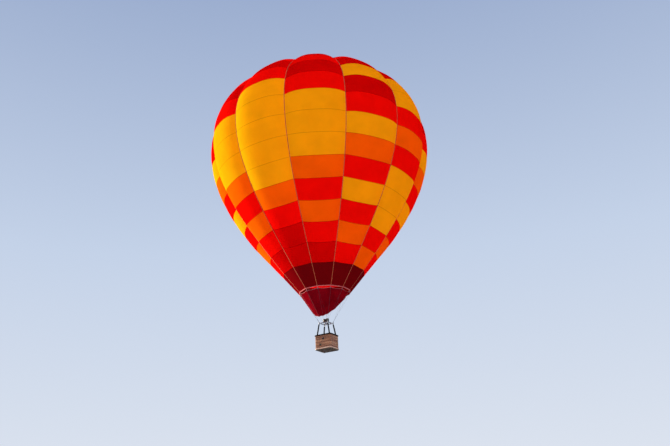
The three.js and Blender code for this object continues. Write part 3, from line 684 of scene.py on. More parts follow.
@dataclass(frozen=True)
class Timber(Finish):
    """Sawn wood or plywood with its grain along the board and an oiled, half-dull face."""

    colour: str
    shadow: str

    def paint(self, nodes: Nodes, shader: Node) -> None:
        """Adds grain lines, a few millimetres wide and 0.3 m long."""
        grain = nodes.add("TexNoise", {
            "Vector": nodes.place(3, 60, 60), "Scale": 1.0, "Detail": 6.0, "Roughness": 0.6,
            "Distortion": 0.4})
        colour = nodes.shade(grain, (0.35, self.shadow), (0.62, self.colour))
        nodes.raise_by(shader, grain, 0.0008)
        nodes.feed(shader, {"Base Color": colour, "Roughness": 0.6})


@dataclass(frozen=True)
class Moulded(Finish):
    """Moulded rubber or plastic, or enamel: an even colour with a fine skin texture."""

    colour: str
    light: str
    roughness: float
    gloss: float = 0.5

    def paint(self, nodes: Nodes, shader: Node) -> None:
        """Adds the skin texture."""
        skin = nodes.add("TexNoise", {"Vector": nodes.place(), "Scale": 90.0, "Detail": 3.0})
        colour = nodes.shade(skin, (0.35, self.colour), (0.7, self.light))
        nodes.raise_by(shader, skin, 0.0004)
        nodes.feed(shader, {
            "Base Color": colour, "Roughness": self.roughness, "Specular IOR Level": self.gloss})


class Cloth(Enum):
    """The envelope's cloth: its colour, the light through it, its seams' colour, painted darker as painted
    shade, and the share of light it lets by.

    The maroon cloth by the mouth is flame resistant and nearly opaque.
    """

    YELLOW = ("#FFDA10", "#FFB400", "#D08C00", 0.58)
    ORANGE = ("#FF8006", "#FF6000", "#CC4800", 0.58)
    RED = ("#FC1006", "#F80200", "#B80000", 0.58)
    DARK_RED = ("#D80606", "#D40000", "#8C0000", 0.58)
    MAROON = ("#84060C", "#080000", "#380000", 0.25)


@dataclass
class Workshop:
    """Every finish as a material, made once."""

    cloth: dict[Cloth, Material] = field(default_factory=dict)
    seam_painted_darker: dict[Cloth, Material] = field(default_factory=dict)

    def __post_init__(self) -> None:
        """Makes the materials."""
        for kind in Cloth:
            colour, glow, seam, through = kind.value
            title = kind.name.lower()
            self.cloth[kind] = RipstopNylon(f"ripstop nylon, {title}", colour, glow, through).make()
            # A felled seam's colour is painted darker than its cloth, as painted shade for the light that its
            # doubled cloth holds back
            self.seam_painted_darker[kind] = RipstopNylon(f"felled seam, {title}", seam, seam, through / 4).make()
        self.tape = Webbing("polyester load tape").make()
        self.band = Webbing("edge webbing", "#CC4C4A", "#B83C3C", "#E4988C", 0.07).make()
        self.scoop = AramidCloth("aramid cloth, crimson").make()
        self.hem = Webbing("aramid hem", "#A83840", "#8C2830", "#CC7C78").make()
        self.scoop_seam = Webbing("aramid seam", "#6C0C18", "#580810", "#8C2C38", 0.026).make()
        self.steel = BrushedMetal("brushed stainless steel", "#8A8C90", "#5C5E62", 0.38).make()
        self.dark_steel = BrushedMetal("heat-tinted stainless steel", "#5E5852", "#342F2A", 0.45).make()
        self.alloy = BrushedMetal("machined aluminium", "#909296", "#6A6C70", 0.36).make()
        self.brass = BrushedMetal("turned brass", "#8C7444", "#6A5430", 0.42).make()
        self.rope = WireRope("stainless wire rope").make()
        self.cover = WovenCover("woven nylon cover, black").make()
        self.jacket = WovenCover("woven nylon jacket, blue grey", "#39414E", "#566070").make()
        self.willow = Willow("varnished willow").make()
        self.stakes = Willow("cane stakes", "#3E2618", "#6E4630", "#94684A").make()
        self.suede = Leather("dark suede", "#1C0E0A", "#100705", 0.8, gloss=0.08).make()
        self.harness = Leather("harness leather", "#4A2A18", "#2E180E", 0.5, 2.0).make()
        self.rawhide = Leather("pale rawhide", "#DCB094", "#C09274", 0.6, 3.0).make()
        self.plywood = Timber("marine plywood", "#6E5434", "#4A3620").make()
        self.oak = Timber("dark hardwood", "#4C3A2A", "#33261A").make()
        self.grip = Moulded("moulded grip, red", "#A01410", "#B82018", 0.4).make()
        self.dial = Moulded("enamelled dial, white", "#E8E8E4", "#F4F4F0", 0.35).make()
        self.zip = Moulded("moulded zip", "#050506", "#0E0F12", 0.4).make()


@dataclass
class Assembly:
    """A sub-assembly that makes its own pieces."""

    shop: Workshop

    def make(self) -> None:
        """Makes the pieces."""
        raise NotImplementedError


# Envelope


@dataclass(frozen=True)
class Arc:
    """A stretch of the load tape's line: its length, and the lean from upright at its end, in degrees."""

    length: float
    lean: float


@dataclass
class TapeLine:
    """The line of a load tape in its upright plane, from the mouth over the widest place to the crown."""

    mouth_radius: float = 1.865
    mouth_height: float = -10.57
    mouth_lean: float = 40.5
    arcs: tuple[Arc, ...] = (Arc(6.4, 34.4), Arc(3.6, 23), Arc(3.5, 1.5), Arc(3.5, -33.5), Arc(3.5, -59),
                             Arc(2.3, -87), Arc(3.0, -89.5))
    arcs_below_waist: int = 3

    def at(self, along: float) -> tuple[float, float, float]:
        """Follows the line.

        Args:
            along: Length along the tape from the mouth.

        Returns:
            Radius, height and lean in radians.
        """
        radius, height, lean = self.mouth_radius, self.mouth_height, radians(self.mouth_lean)
        for arc in self.arcs:
            bend = (radians(arc.lean) - lean) / arc.length
            turned = lean + bend * min(along, arc.length)
            radius += (cos(lean) - cos(turned)) / bend
            height += (sin(turned) - sin(lean)) / bend
            lean = turned
            along -= arc.length
            if along <= 0:
                break
        return radius, height, lean

    def rows(self, stations: Iterable[float]) -> np.ndarray:
        """Radius, height and lean at each of several lengths."""
        return np.array([self.at(along) for along in stations])

    def length_at_radius(self, radius: float) -> float:
        """The length at which the line, past the widest place, has come in to a radius."""
        below = self.arcs[:self.arcs_below_waist]
        low, high = sum(arc.length for arc in below), sum(arc.length for arc in self.arcs)
        # Forty halvings come far closer than the mesh can show
        for _ in range(40):
            middle = (low + high) / 2
            low, high = (middle, high) if self.at(middle)[0] > radius else (low, middle)
        return low


YE, OR, RE, DR, MA = Cloth
# A gore's panels from the mouth up
LADDER = (MA, DR, DR, RE, OR, YE, YE, YE, YE, YE, RE, DR, RE, DR, DR)
FLAME = (MA, DR, RE, OR, RE, OR, YE, YE, YE, RE, DR, RE, DR, DR, DR)
CHEQUER = (MA, RE, OR, RE, YE, RE, OR, YE, RE, DR, YE, DR, RE, DR, DR)
SUNRISE = (MA, OR, RE, YE, YE, YE, RE, OR, RE, YE, YE, DR, RE, DR, DR)
# Going round twice, the gores' colour schemes repeat as a mirrored set of six
SCHEMES = (CHEQUER, FLAME, LADDER, FLAME, CHEQUER, SUNRISE)


@dataclass
class Envelope(Assembly):
    """Twelve bulging gores of sewn panels, their load tapes and the bands at both ends."""

    line: TapeLine = field(default_factory=TapeLine)
    gores: int = 12
    first_tape: float = radians(15)
    # The bulge: its share of a gore's width, the power of its curve, and its growth and fading at the ends
    bulge: float = 0.14
    fullness: float = 2.7
    bulge_rise: float = 5.0
    bulge_fall: float = 3.0
    band_height: float = 0.07
    band_lift: float = 0.0145
    band_thickness: float = 0.004
    band_steps: int = 6
    # The panels: the lowest one's height and the others', the fold between two, and their swell
    mouth_panel: float = 1.79
    panel: float = 1.512
    opening_radius: float = 2.3
    seam_width: float = 0.026
    pillow: float = 0.014
    # The gathers by the tapes: height, reach, spacing, start, wander along the tape, lead of one side, slant
    pucker: float = 0.011
    pucker_reach: float = 0.32
    pucker_spacing: float = 0.45
    pucker_start: float = 0.05
    pucker_wander: float = 0.9
    pucker_wander_rate: float = 1.7
    pucker_ahead: float = 1.3
    pucker_slant: float = 0.35
    columns: int = 34
    rows_per_panel: int = 14
    # The tapes: where they start, their steps, and how far edges and middle stand off the cloth
    tape_width: float = 0.04
    tape_thickness: float = 0.004
    tape_lift: float = 0.0165
    tape_start: float = 0.012
    tape_step: float = 0.12
    tape_edge_lift: float = 0.001
    tape_middle_lift: float = 0.003
    ring_radius: float = 0.19
    ring_tube: float = 0.016

    def __post_init__(self) -> None:
        """Works out where the crown opening and the panel seams lie."""
        self.half = pi / self.gores
        self.opening_at = self.line.length_at_radius(self.opening_radius)
        self.seams = list(np.arange(self.mouth_panel, self.opening_at - self.panel / 3, self.panel))

    def tape_azimuth(self, index: float) -> float:
        """The azimuth of a load tape in radians, or of a place between two."""
        return self.first_tape + index * 2 * self.half

    def bulge_at(self, along: np.ndarray) -> np.ndarray:
        """The bulge's height as a share of the gore's width, at each length along the tape."""
        mouth = np.clip((along - self.band_height) / self.bulge_rise, 0, 1)
        crown = np.clip((self.opening_at - self.band_height - along) / self.bulge_fall, 0, 1)
        return self.bulge * mouth * np.sin(crown * pi / 2)

    def surface(self, azimuth: float, stations: np.ndarray, across: np.ndarray,
                lift: np.ndarray | float = 0.0) -> np.ndarray:
        """Points on a gore's outer face.

        Args:
            azimuth: The azimuth of the gore's middle, in radians.
            stations: Lengths along the tape, one for each row.
            across: Places from -1 at one tape to 1 at the next, for each column or for each point.
            lift: How far the points stand off the face.

        Returns:
            The points as rows and columns.
        """
        radius, height, lean = self.line.rows(stations).T
        places = np.broadcast_to(across, (len(stations), np.shape(across)[-1]))
        chord = 2 * radius * sin(self.half)
        rise = (self.bulge_at(stations) * chord)[:, None] * (1 - np.abs(places) ** self.fullness) + lift
        out = (radius * cos(self.half))[:, None] + rise * np.cos(lean)[:, None]
        up = height[:, None] - rise * np.sin(lean)[:, None]
        side = places * (chord / 2)[:, None]
        return (out[..., None] * direction(azimuth) + side[..., None] * direction(azimuth + pi / 2)
                + up[..., None] * UP)

    def stations(self) -> tuple[np.ndarray, list[int], np.ndarray]:
        """Rows of a gore's mesh.

        Returns:
            Lengths along the tape, the panel number of each row of quads (minus the number and one more on a
            seam's fold), and each row's share of its panel's pillow.
        """
        ends = [0.0, *self.seams, self.opening_at]
        lengths, shares, panels = [], [], []
        for number, (low, high) in enumerate(zip(ends, ends[1:])):
            first = low + (self.seam_width / 2 if number else 0)
            last = high - (self.seam_width / 2 if number < len(ends) - 2 else 0)
            steps = max(4, round((last - first) / self.panel * self.rows_per_panel))
            for step in range(steps + 1):
                lengths.append(first + (last - first) * step / steps)
                shares.append(sin(pi * step / steps))
                panels.append(number)
            panels[-1] = -number - 1
        return np.array(lengths), panels[:-1], np.array(shares)

    def gore(self, index: int) -> None:
        """Makes one gore, numbered from 0, as a stretched sheet of panels."""
        lengths, panels, pillows = self.stations()
        spread = np.sin(np.linspace(-1, 1, self.columns + 1) * pi / 2)
        chord = 2 * self.line.rows(lengths)[:, 0] * sin(self.half)
        from_tape = (1 - np.abs(spread)) * (chord / 2)[:, None]
        held = np.clip(self.bulge_at(lengths) / self.bulge, 0, 1)[:, None]
        # Small gathers run out from the tapes and are never quite even
        wander = self.pucker_wander * np.sin(lengths * self.pucker_wander_rate + index)
        phase = 2 * pi * lengths / self.pucker_spacing + wander
        ahead = np.where(spread < 0, self.pucker_ahead, 0.0)
        shift = ahead + self.pucker_slant * from_tape / self.pucker_reach
        gathers = self.pucker * np.sin(phase[:, None] + shift) * np.exp(-from_tape / self.pucker_reach)
        pillow = self.pillow * pillows[:, None] * (1 - spread**4)
        lift = held * (np.clip(from_tape / self.pucker_start, 0, 1) * gathers + pillow)
        rows = self.surface(self.tape_azimuth(index + 0.5), lengths, spread, lift)
        widths = np.linalg.norm(np.diff(rows, axis=1), axis=2).sum(axis=1)
        width = float(widths.max())
        kinds = list(Cloth)
        scheme = [kinds.index(cloth) for cloth in SCHEMES[index % len(SCHEMES)]]
        marks = [scheme[panel] if panel >= 0 else scheme[-panel - 1] + len(kinds) for panel in panels]
        skin = Skin()
        skin.grid(rows, np.array(marks), across=spread * width / 2, along=lengths)
        name = f"gore_{index + 1:02d}"
        materials = [*self.shop.cloth.values(), *self.shop.seam_painted_darker.values()]
        piece = skin.piece(f"{name}_cloth", materials, "fabric", name, sheet=True)

    def strap(self, skin: Skin, index: int) -> None:
        """Adds a load tape, numbered from 0, that runs from the mouth over the opening to the crown ring."""
        azimuth = self.tape_azimuth(index)
        lengths = np.arange(self.tape_start, self.opening_at, self.tape_step)
        near = (1 - self.tape_width / (2 * self.line.rows(lengths)[:, 0] * sin(self.half)))[:, None]
        left = self.surface(azimuth - self.half, lengths, near, self.tape_edge_lift)
        right = self.surface(azimuth + self.half, lengths, -near, self.tape_edge_lift)
        seam = self.surface(azimuth + self.half, lengths, np.array([-1.0]), self.tape_middle_lift)
        inner = np.concatenate([left, seam, right], axis=1)
        sections = self.thicken(inner, self.tape_normals(azimuth, lengths))
        skin.loft(np.concatenate([sections, self.over_opening(azimuth)]))

    def thicken(self, inner: np.ndarray, normals: np.ndarray) -> np.ndarray:
        """Sections of a tape from the three points across its inner face and the direction square to it."""
        return np.concatenate([inner, (inner + normals[:, None] * self.tape_thickness)[:, ::-1]], axis=1)

    def tape_normals(self, azimuth: float, lengths: np.ndarray) -> np.ndarray:
        """Outward directions square to a tape at each of several lengths."""
        lean = self.line.rows(lengths)[:, 2:]
        return np.cos(lean) * direction(azimuth) - np.sin(lean) * UP

    def over_opening(self, azimuth: float) -> np.ndarray:
        """Sections of a tape at an azimuth in radians, across the crown opening and round the crown ring."""
        start = self.opening_at + self.tape_step / 4
        lengths = np.linspace(start, self.line.length_at_radius(self.ring_radius), 14)
        rows = self.line.rows(lengths)
        normals = self.tape_normals(azimuth, lengths)
        middles = rows[:, :1] * direction(azimuth) + rows[:, 1:2] * UP + normals * self.tape_lift
        # The end goes two thirds of the way round the ring's tube, 1.5 mm off it
        reach = self.ring_tube + 0.0015
        bends = np.radians(np.arange(24, 250, 24))[:, None]
        wrap = np.cos(bends) * UP - np.sin(bends) * direction(azimuth)
        middles = np.vstack([middles, middles[-1] - normals[-1] * reach + reach * wrap])
        side = direction(azimuth + pi / 2) * self.tape_width / 2
        return self.thicken(middles[:, None] + np.stack([-side, side * 0, side]), np.vstack([normals, wrap]))

    def band(self, skin: Skin, low: float, high: float) -> None:
        """Adds a webbing band round the envelope, between two lengths along the tape."""
        rings = []
        lower, upper = self.line.rows([low, high])
        for step in range(self.gores * self.band_steps):
            spoke = direction(self.tape_azimuth(step / self.band_steps))
            within = step % self.band_steps / self.band_steps * 2 - 1
            flat = cos(self.half) / cos(within * self.half)
            section = []
            for (radius, height, lean), fold in [(lower, 0), (upper, 0), (upper, 1), (lower, 1)]:
                lift = fold * self.band_thickness + self.band_lift
                out = spoke * (radius * flat + lift * cos(lean))
                section.append(out + UP * (height - lift * sin(lean)))
            rings.append(section)
        skin.loft(np.array(rings), 1, closed=True)

    def make(self) -> None:
        """Makes the gores, the tapes, the bands and the crown ring."""
        skin = Skin()
        for index in range(self.gores):
            self.strap(skin, index)
        self.band(skin, 0.0, self.band_height)
        self.band(skin, self.opening_at - self.band_height, self.opening_at)
        skin.piece("load_tapes_webbing", [self.shop.tape, self.shop.band], "tape", "load_tapes")
        for index in range(self.gores):
            self.gore(index)
        low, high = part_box("crown_ring")
        ring = Skin()
        around = level_ring((low + high) / 2, self.ring_radius, 72)
        ring.tube(around, self.ring_tube, 16, closed=True)
        ring.piece("crown_ring_turned", [self.shop.alloy], "alloy", "crown_ring")


@dataclass
class ParachuteValve(Assembly):
    """A dome of cloth held up against the gores' upper ends, with lines that gather in the middle."""

    envelope: Envelope
    # The dome: its depth under the tapes' line, its lap past the opening, and how its bays rise and fade
    depth: float = 0.0155
    lap: float = 0.33
    crown: float = 0.03
    rise_length: float = 0.6
    fade_length: float = 0.8
    middle: float = 0.06
    rows: int = 26
    steps: int = 8
    column_width: float = 0.12
    # Share of its square that the twelve-sided cloth fills
    area_share: float = 0.77
    # The hem's section, as places outwards and up from the dome's edge
    hem: tuple[tuple[float, float], ...] = ((-0.03, 0.002), (0.002, 0), (0.002, -0.004), (-0.03, -0.006))
    tab: tuple[float, float, float] = (0.02, 0.03, 0.024)
    shroud_drop: float = 4.6
    line_radius: float = 0.003
    ring_radius: float = 0.02
    foot: tuple[float, float, float] = (-0.1, 0.305, -12.78)

    def make(self) -> None:
        """Makes the dome with its hem, its shroud lines and its pull line."""
        line, opening = self.envelope.line, self.envelope.opening_radius
        ends = [line.length_at_radius(end) for end in (opening + self.lap, self.middle)]
        radius, height, lean = line.rows(np.linspace(*ends, self.rows)).T
        radius, height = radius - self.depth * np.cos(lean), height + self.depth * np.sin(lean)
        self.hem_and_lines(self.dome(radius, height), radius[0], height[0])

    def dome(self, radius: np.ndarray, height: np.ndarray) -> np.ndarray:
        """Makes the dome.

        Args:
            radius: Its radius at each row, from its edge to its middle.
            height: Its height at each row.

        Returns:
            The points round its edge.
        """
        half, opening = self.envelope.half, self.envelope.opening_radius
        count = self.envelope.gores * self.steps
        within = np.arange(count) % self.steps / self.steps * 2 - 1
        spokes = np.array([direction(self.envelope.first_tape + turn) for turn in turns(count)])
        spokes *= (cos(half) / np.cos(within * half))[:, None]
        grown = np.clip((opening - radius) / self.rise_length, 0, 1)
        faded = np.clip(radius / self.fade_length, 0, 1)
        rise = self.crown * (grown * faded)[:, None] * (1 - within**2)
        rows = radius[:, None, None] * spokes + (height[:, None] + rise)[..., None] * UP
        skin = Skin()
        base = skin.grid(rows, around=True, across=np.arange(count + 1) * self.column_width, along=radius)
        skin.fan(range(base + (self.rows - 1) * count, base + self.rows * count))
        cloth = skin.piece("parachute_valve_cloth", [self.shop.cloth[Cloth.RED]], "fabric", "parachute_valve",
                           body=Body.VALVE, sheet=True)
        return rows[0]

    def hem_and_lines(self, edge: np.ndarray, radius: float, height: float) -> None:
        """Makes the hem with a tab at each tape, and the lines that run down from the tabs.

        Args:
            edge: The points round the dome's edge.
            radius: The edge's radius at the tapes.
            height: The edge's height.
        """
        hem, lines = Skin(), Skin()
        outward = unit(edge * [1, 1, 0])
        hem.loft(np.stack([edge + outward * out + UP * up for out, up in self.hem], 1), closed=True)
        gather = UP * (height - self.shroud_drop)
        inset, below, ring = self.tab[0], self.tab[2] / 4, self.ring_radius
        for index in range(self.envelope.gores):
            azimuth = self.envelope.tape_azimuth(index)
            out = direction(azimuth)
            top = out * (radius - inset) + UP * (height - below)
            hem.block(top - UP * self.tab[2] / 2, self.tab, 0.003, turn=azimuth)
            lines.tube([top - UP * ring, gather + out * ring], self.line_radius, 6)
        lines.tube([gather - UP * ring, self.foot], self.line_radius * 1.3, 8)
        for centre, size, bar in ((gather, ring * 1.1, 0.005), (self.foot, ring, 0.004)):
            lines.tube(level_ring(centre, size, 24), bar, 8, 1, closed=True)
        hem.piece("parachute_valve_hem", [self.shop.band], "tape", body=Body.VALVE)
        lines.piece("parachute_valve_lines", [self.shop.tape, self.shop.steel], "tape", body=Body.VALVE)


# Scoop


@dataclass
class Scoop(Assembly):
    """A cone of cloth panels under the mouth, open at the back, with a hem that sweeps up to both ends."""

    envelope: Envelope
    # The cone: its drop, its radius at the foot, and how far inside the gores it starts
    drop: float = 1.885
    foot_radius: float = 0.655
    inset: float = 0.0065
    # Degrees from its front to its ends and to where its hem would meet the mouth, and from tape to tape
    half_angle: float = 105.0
    hem_angle: float = 110.0
    hem_power: float = 2.2
    bay: float = 30.0
    # The cloth of a bay: its swell and ripples, and how far both edges hang off, as shares of the drop
    swell: float = 0.008
    ripples_down: float = 9.0
    ripple_angle: float = 7.0
    top_gap: float = 0.05
    top_sag: float = 0.02
    hem_sag: float = 0.022
    rows: int = 40
    steps: int = 14
    pattern_radius: float = 1.2
    # The webbing: its widths, its stand on both faces of the sheet, and the tabs with their clamps
    hem_width: float = 0.04
    seam_width: float = 0.026
    seam_start: float = 0.02
    trim_out: float = 0.004
    trim_in: float = -0.003
    tab: tuple[float, float, float] = (0.006, 0.04, 0.21)
    clamp: tuple[float, float, float] = (0.012, 0.06, 0.045)
    # The flat cloth: its length down the slope, and the share of its rectangle that is cut
    slope: float = 2.1
    cut_share: float = 0.57

    def point(self, place: float, share: float, lift: float = 0.0) -> np.ndarray:
        """A point of the sheet.

        Args:
            place: Degrees round the mouth, from the middle of the front.
            share: Its share of the way from the mouth to the hem.
            lift: How far it stands outside the sheet.

        Returns:
            The point.
        """
        line = self.envelope.line
        off = radians(place - round(place / self.bay) * self.bay)
        between = sin(pi * ((place / self.bay + 0.5) % 1))
        hem = sqrt(1 - (abs(place) / self.hem_angle) ** self.hem_power)
        top = self.top_gap + self.top_sag * between
        loose = top * (1 - share) ** 5 - self.hem_sag * between * share**8
        down = share * hem + loose
        at_tape = (line.mouth_radius - self.inset) * (1 - down) + self.foot_radius * down
        ripple = 0.5 + 0.5 * sin(self.ripples_down * share + place / self.ripple_angle)
        swell = self.swell * between * sin(pi * share) * ripple
        radius = at_tape * cos(self.envelope.half) / cos(off) + swell + lift
        return direction(radians(place - 90)) * radius + UP * (line.mouth_height - down * self.drop)

    def trim(self, skin: Skin, sides: Iterable[tuple[Point, Point]], mark: int = 0) -> None:
        """Adds a strip of webbing on the sheet.

        Args:
            skin: What it is added to.
            sides: Places on both sides of the strip, each as degrees and share.
            mark: The material's place.
        """
        skin.loft(np.array([[self.point(*outer, self.trim_out), self.point(*inner, self.trim_out),
                             self.point(*inner, self.trim_in), self.point(*outer, self.trim_in)]
                            for outer, inner in sides]), mark)

    def make(self) -> None:
        """Makes the sheet, its hems, its seams and the tabs that hold it to the mouth."""
        bays = round(2 * self.half_angle / self.bay)
        places = np.linspace(-self.half_angle, self.half_angle, bays * self.steps + 1)
        shares = np.linspace(1, 0, self.rows + 1)
        skin = Skin()
        skin.grid(np.array([[self.point(place, share) for place in places] for share in shares]),
                  across=np.radians(places) * self.pattern_radius, along=(1 - shares) * self.slope)
        cloth = skin.piece("scoop_cloth", [self.shop.scoop], "scoop_fabric", "scoop", sheet=True)
        hems, tabs = Skin(), Skin()
        low = self.hem_width / self.slope
        self.trim(hems, [((place, 0.0), (place, low)) for place in places])
        self.trim(hems, [((place, 1.0), (place, 1 - low)) for place in places])
        lean = radians(self.envelope.line.mouth_lean)
        for number in range(bays + 1):
            place = -self.half_angle + self.bay * number
            left, right = [0 if number == end else self.seam_width / 2 for end in (0, bays)]
            strip = []
            for share in np.linspace(self.seam_start, 1, 24):
                width = np.degrees(1 / np.linalg.norm(self.point(place, share)[:2]))
                strip.append(((place - left * width, share), (place + right * width, share)))
            self.trim(hems, strip, 0 if number in (0, bays) else 1)
            # A tab lies on the hem and the mouth's band, and its clamp on the tab
            azimuth = radians(place - 90)
            top = self.point(place, 0.03, 0.014)
            tabs.block(top + UP * self.tab[2] / 3, self.tab, 0.002, 0, azimuth, lean)
            tabs.block(top + direction(azimuth) * 0.008, self.clamp, 0.004, 1, azimuth, lean)
        hems.piece("scoop_hems", [self.shop.hem, self.shop.scoop_seam], "scoop_fabric")
        tabs.piece("scoop_tabs", [self.shop.band, self.shop.steel], "scoop_fabric")


# Rigging between the envelope and the frame


@dataclass(frozen=True)
class Corner:
    """A corner of the frame and basket: its name and which side of each axis it lies on."""

    name: str
    x: int
    y: int

    @property
    def azimuth(self) -> float:
        """The corner's azimuth in radians."""
        return atan2(self.y, self.x)

    def at(self, x: float, y: float, z: float) -> np.ndarray:
        """The point at distances from the balloon's axes, on this corner's side of both."""
        return np.array([self.x * x, self.y * y, z])


CORNERS = (Corner("front_right", 1, -1), Corner("back_right", 1, 1), Corner("back_left", -1, 1),
           Corner("front_left", -1, -1))


@dataclass
class Rigging(Assembly):
    """Twelve wire ropes from the load tapes to four karabiners on the frame."""

    envelope: Envelope
    link_radius: float = 0.034
    link_bar: float = 0.007
    pear: float = 0.12
    knuckle: float = 0.022
    wire: float = 0.003
    eye_length: float = 0.022
    eye_width: float = 0.0124
    eye_bar: float = 0.0035
    ferrule_start: float = 0.042
    # How far the wires' upper ends stand off the tapes' line, and how far short of it they stop
    tape_lift: float = 0.0045
    short: float = 0.0012
    in_ferrule: float = 0.03

    def karabiner(self, corner: Corner) -> np.ndarray:
        """Makes the karabiner that joins a corner's wires to the frame.

        Args:
            corner: The corner.

        Returns:
            The point where the corner's three wires meet.
        """
        bottom = FRAME_HEIGHT + SOCKET_RISE + GAP
        middle = corner.at(HALF_FRAME, HALF_FRAME, bottom + self.link_radius + self.link_bar)
        line, out = self.envelope.line, direction(corner.azimuth)
        lean = atan2(line.mouth_radius - hypot(*middle[:2]), line.mouth_height - middle[2])
        meeting = middle + (out * sin(lean) + UP * cos(lean)) * self.link_radius
        skin = Skin()
        # A pear shape, a little wider towards its top
        ring = [middle + self.link_radius * ((1 + self.pear * sin(turn)) * cos(turn) * out + sin(turn) * UP)
                for turn in turns(36)]
        skin.tube(ring, self.link_bar, 12, closed=True)
        gate = [(0.0085, 0), (0.0115, 0.002), (0.0115, 0.03), (0.0085, 0.032)]
        skin.lathe(gate, middle - out * self.link_radius - UP * 0.016, sides=20, mark=1)
        knuckle = [(0.006, -0.021), (0.015, -0.017), (0.0205, -0.006), (0.0205, 0.006), (0.015, 0.017),
                   (0.006, 0.021)]
        skin.lathe(knuckle, meeting, meeting - middle, 24)
        name = f"shackle_{corner.name}"
        skin.piece(f"{name}_karabiner", [self.shop.steel, self.shop.alloy], "steel", name)
        return meeting

    def eye(self, skin: Skin, end: np.ndarray, along: np.ndarray) -> None:
        """Adds a thimble eye and its ferrule at a wire's end.

        Args:
            skin: What they are added to.
            end: The wire's end.
            along: The direction from the end into the wire.
        """
        side = unit(np.cross(along, UP))
        loop = [end + along * self.eye_length * (1 + cos(turn)) + side * self.eye_width * sin(turn)
                for turn in turns(20)]
        skin.tube(loop, self.eye_bar, 8, 1, closed=True)
        ferrule = [(0.0045, 0), (0.0075, 0.004), (0.0075, 0.034), (0.0045, 0.038)]
        skin.lathe(ferrule, end + along * self.ferrule_start, along, 16, 1)

    def make(self) -> None:
        """Makes the wires, with an eye at both ends, and the karabiners."""
        skin = Skin()
        radius, height, lean = self.envelope.line.at(0)
        for corner in CORNERS:
            meeting = self.karabiner(corner)
            for turn in (-1, 0, 1):
                out = direction(corner.azimuth + turn * 2 * self.envelope.half)
                top = out * (radius + self.tape_lift * cos(lean)) + UP * (height - self.tape_lift * sin(lean))
                along = unit(top - meeting)
                start, end = meeting + along * (self.knuckle + GAP), top - along * self.short
                hidden = along * self.in_ferrule
                skin.tube([start + hidden, (start + end) / 2, end - hidden], self.wire, 10)
                self.eye(skin, start, along)
                self.eye(skin, end, -along)
        skin.piece("flying_wires", [self.shop.rope, self.shop.steel], "steel",
                   *[f"flying_wire_{number:02d}" for number in range(1, 13)])


# Frame, gimbal and burner


@dataclass
class LoadFrame(Assembly):
    """Four stainless tubes with a welded socket at each corner and two lugs for the gimbal."""

    half: float = HALF_FRAME
    tube: float = 0.017
    socket: float = 0.03
    drop: float = 0.09
    rise: float = SOCKET_RISE
    screw_rows: tuple[float, ...] = (-0.072, -0.045)
    lug_inner: float = 0.317
    lug_width: float = 0.06
    lug_height: float = 0.048
    cheek: float = 0.01
    pin_hole: float = 0.009

    def make(self) -> None:
        """Makes the frame with its weld beads and socket screws."""
        skin = Skin()
        for side in (-1, 1):
            for places in ([(-1, side), (0, side), (1, side)], [(side, -1), (side, 0), (side, 1)]):
                tube = [(x * self.half, y * self.half, FRAME_HEIGHT) for x, y in places]
                skin.tube(tube, self.tube, 24)
            self.lug(skin, side)
        for corner in CORNERS:
            self.corner_socket(skin, corner)
        skin.piece("load_frame_tubes", [self.shop.steel, self.shop.alloy], "steel", "load_frame")

    def corner_socket(self, skin: Skin, corner: Corner) -> None:
        """Adds a corner's socket with its rim, screws and weld beads."""
        r = self.socket
        centre = corner.at(self.half, self.half, FRAME_HEIGHT)
        outline = [(r - 0.006, -self.drop), (r - 0.001, -self.drop), (r, -self.drop + 0.002),
                   (r, self.rise - 0.006), (r - 0.004, self.rise), (r * 0.4, self.rise)]
        skin.lathe(outline, centre)
        for height in self.screw_rows:
            for turn in turns(4) + pi / 4:
                out = direction(turn)
                screw = [(0.005, 0), (0.005, 0.002), (0.003, 0.003)]
                skin.lathe(screw, centre + out * (r - 0.001) + UP * height, out, 12, 1)
        bead = [(self.tube + 0.0005, 0), (self.tube + 0.0035, 0.003), (self.tube + 0.003, 0.006),
                (self.tube + 0.0005, 0.009)]
        for inward in (np.array([-corner.x, 0, 0]), np.array([0, -corner.y, 0])):
            skin.lathe(bead, centre + inward * (r - 0.004), inward, 24)

    def lug(self, skin: Skin, side: int) -> None:
        """Adds a lug on one side along X: two cheeks round a boss with a hole for the gimbal's pin."""
        outer = self.half - self.tube * 0.4
        length = outer - self.lug_inner
        half_height = self.lug_height / 2
        boss = [(self.pin_hole, 0), (half_height, 0), (half_height, length), (self.pin_hole, length)]
        skin.lathe(boss, (side * self.lug_inner, 0, FRAME_HEIGHT), (side, 0, 0), closed=True)
        for end in (-1, 1):
            y = end * (self.lug_width - self.cheek) / 2
            centre = (side * (self.lug_inner + outer) / 2, y, FRAME_HEIGHT)
            skin.block(centre, (length, self.cheek, self.lug_height * 0.8), 0.002)


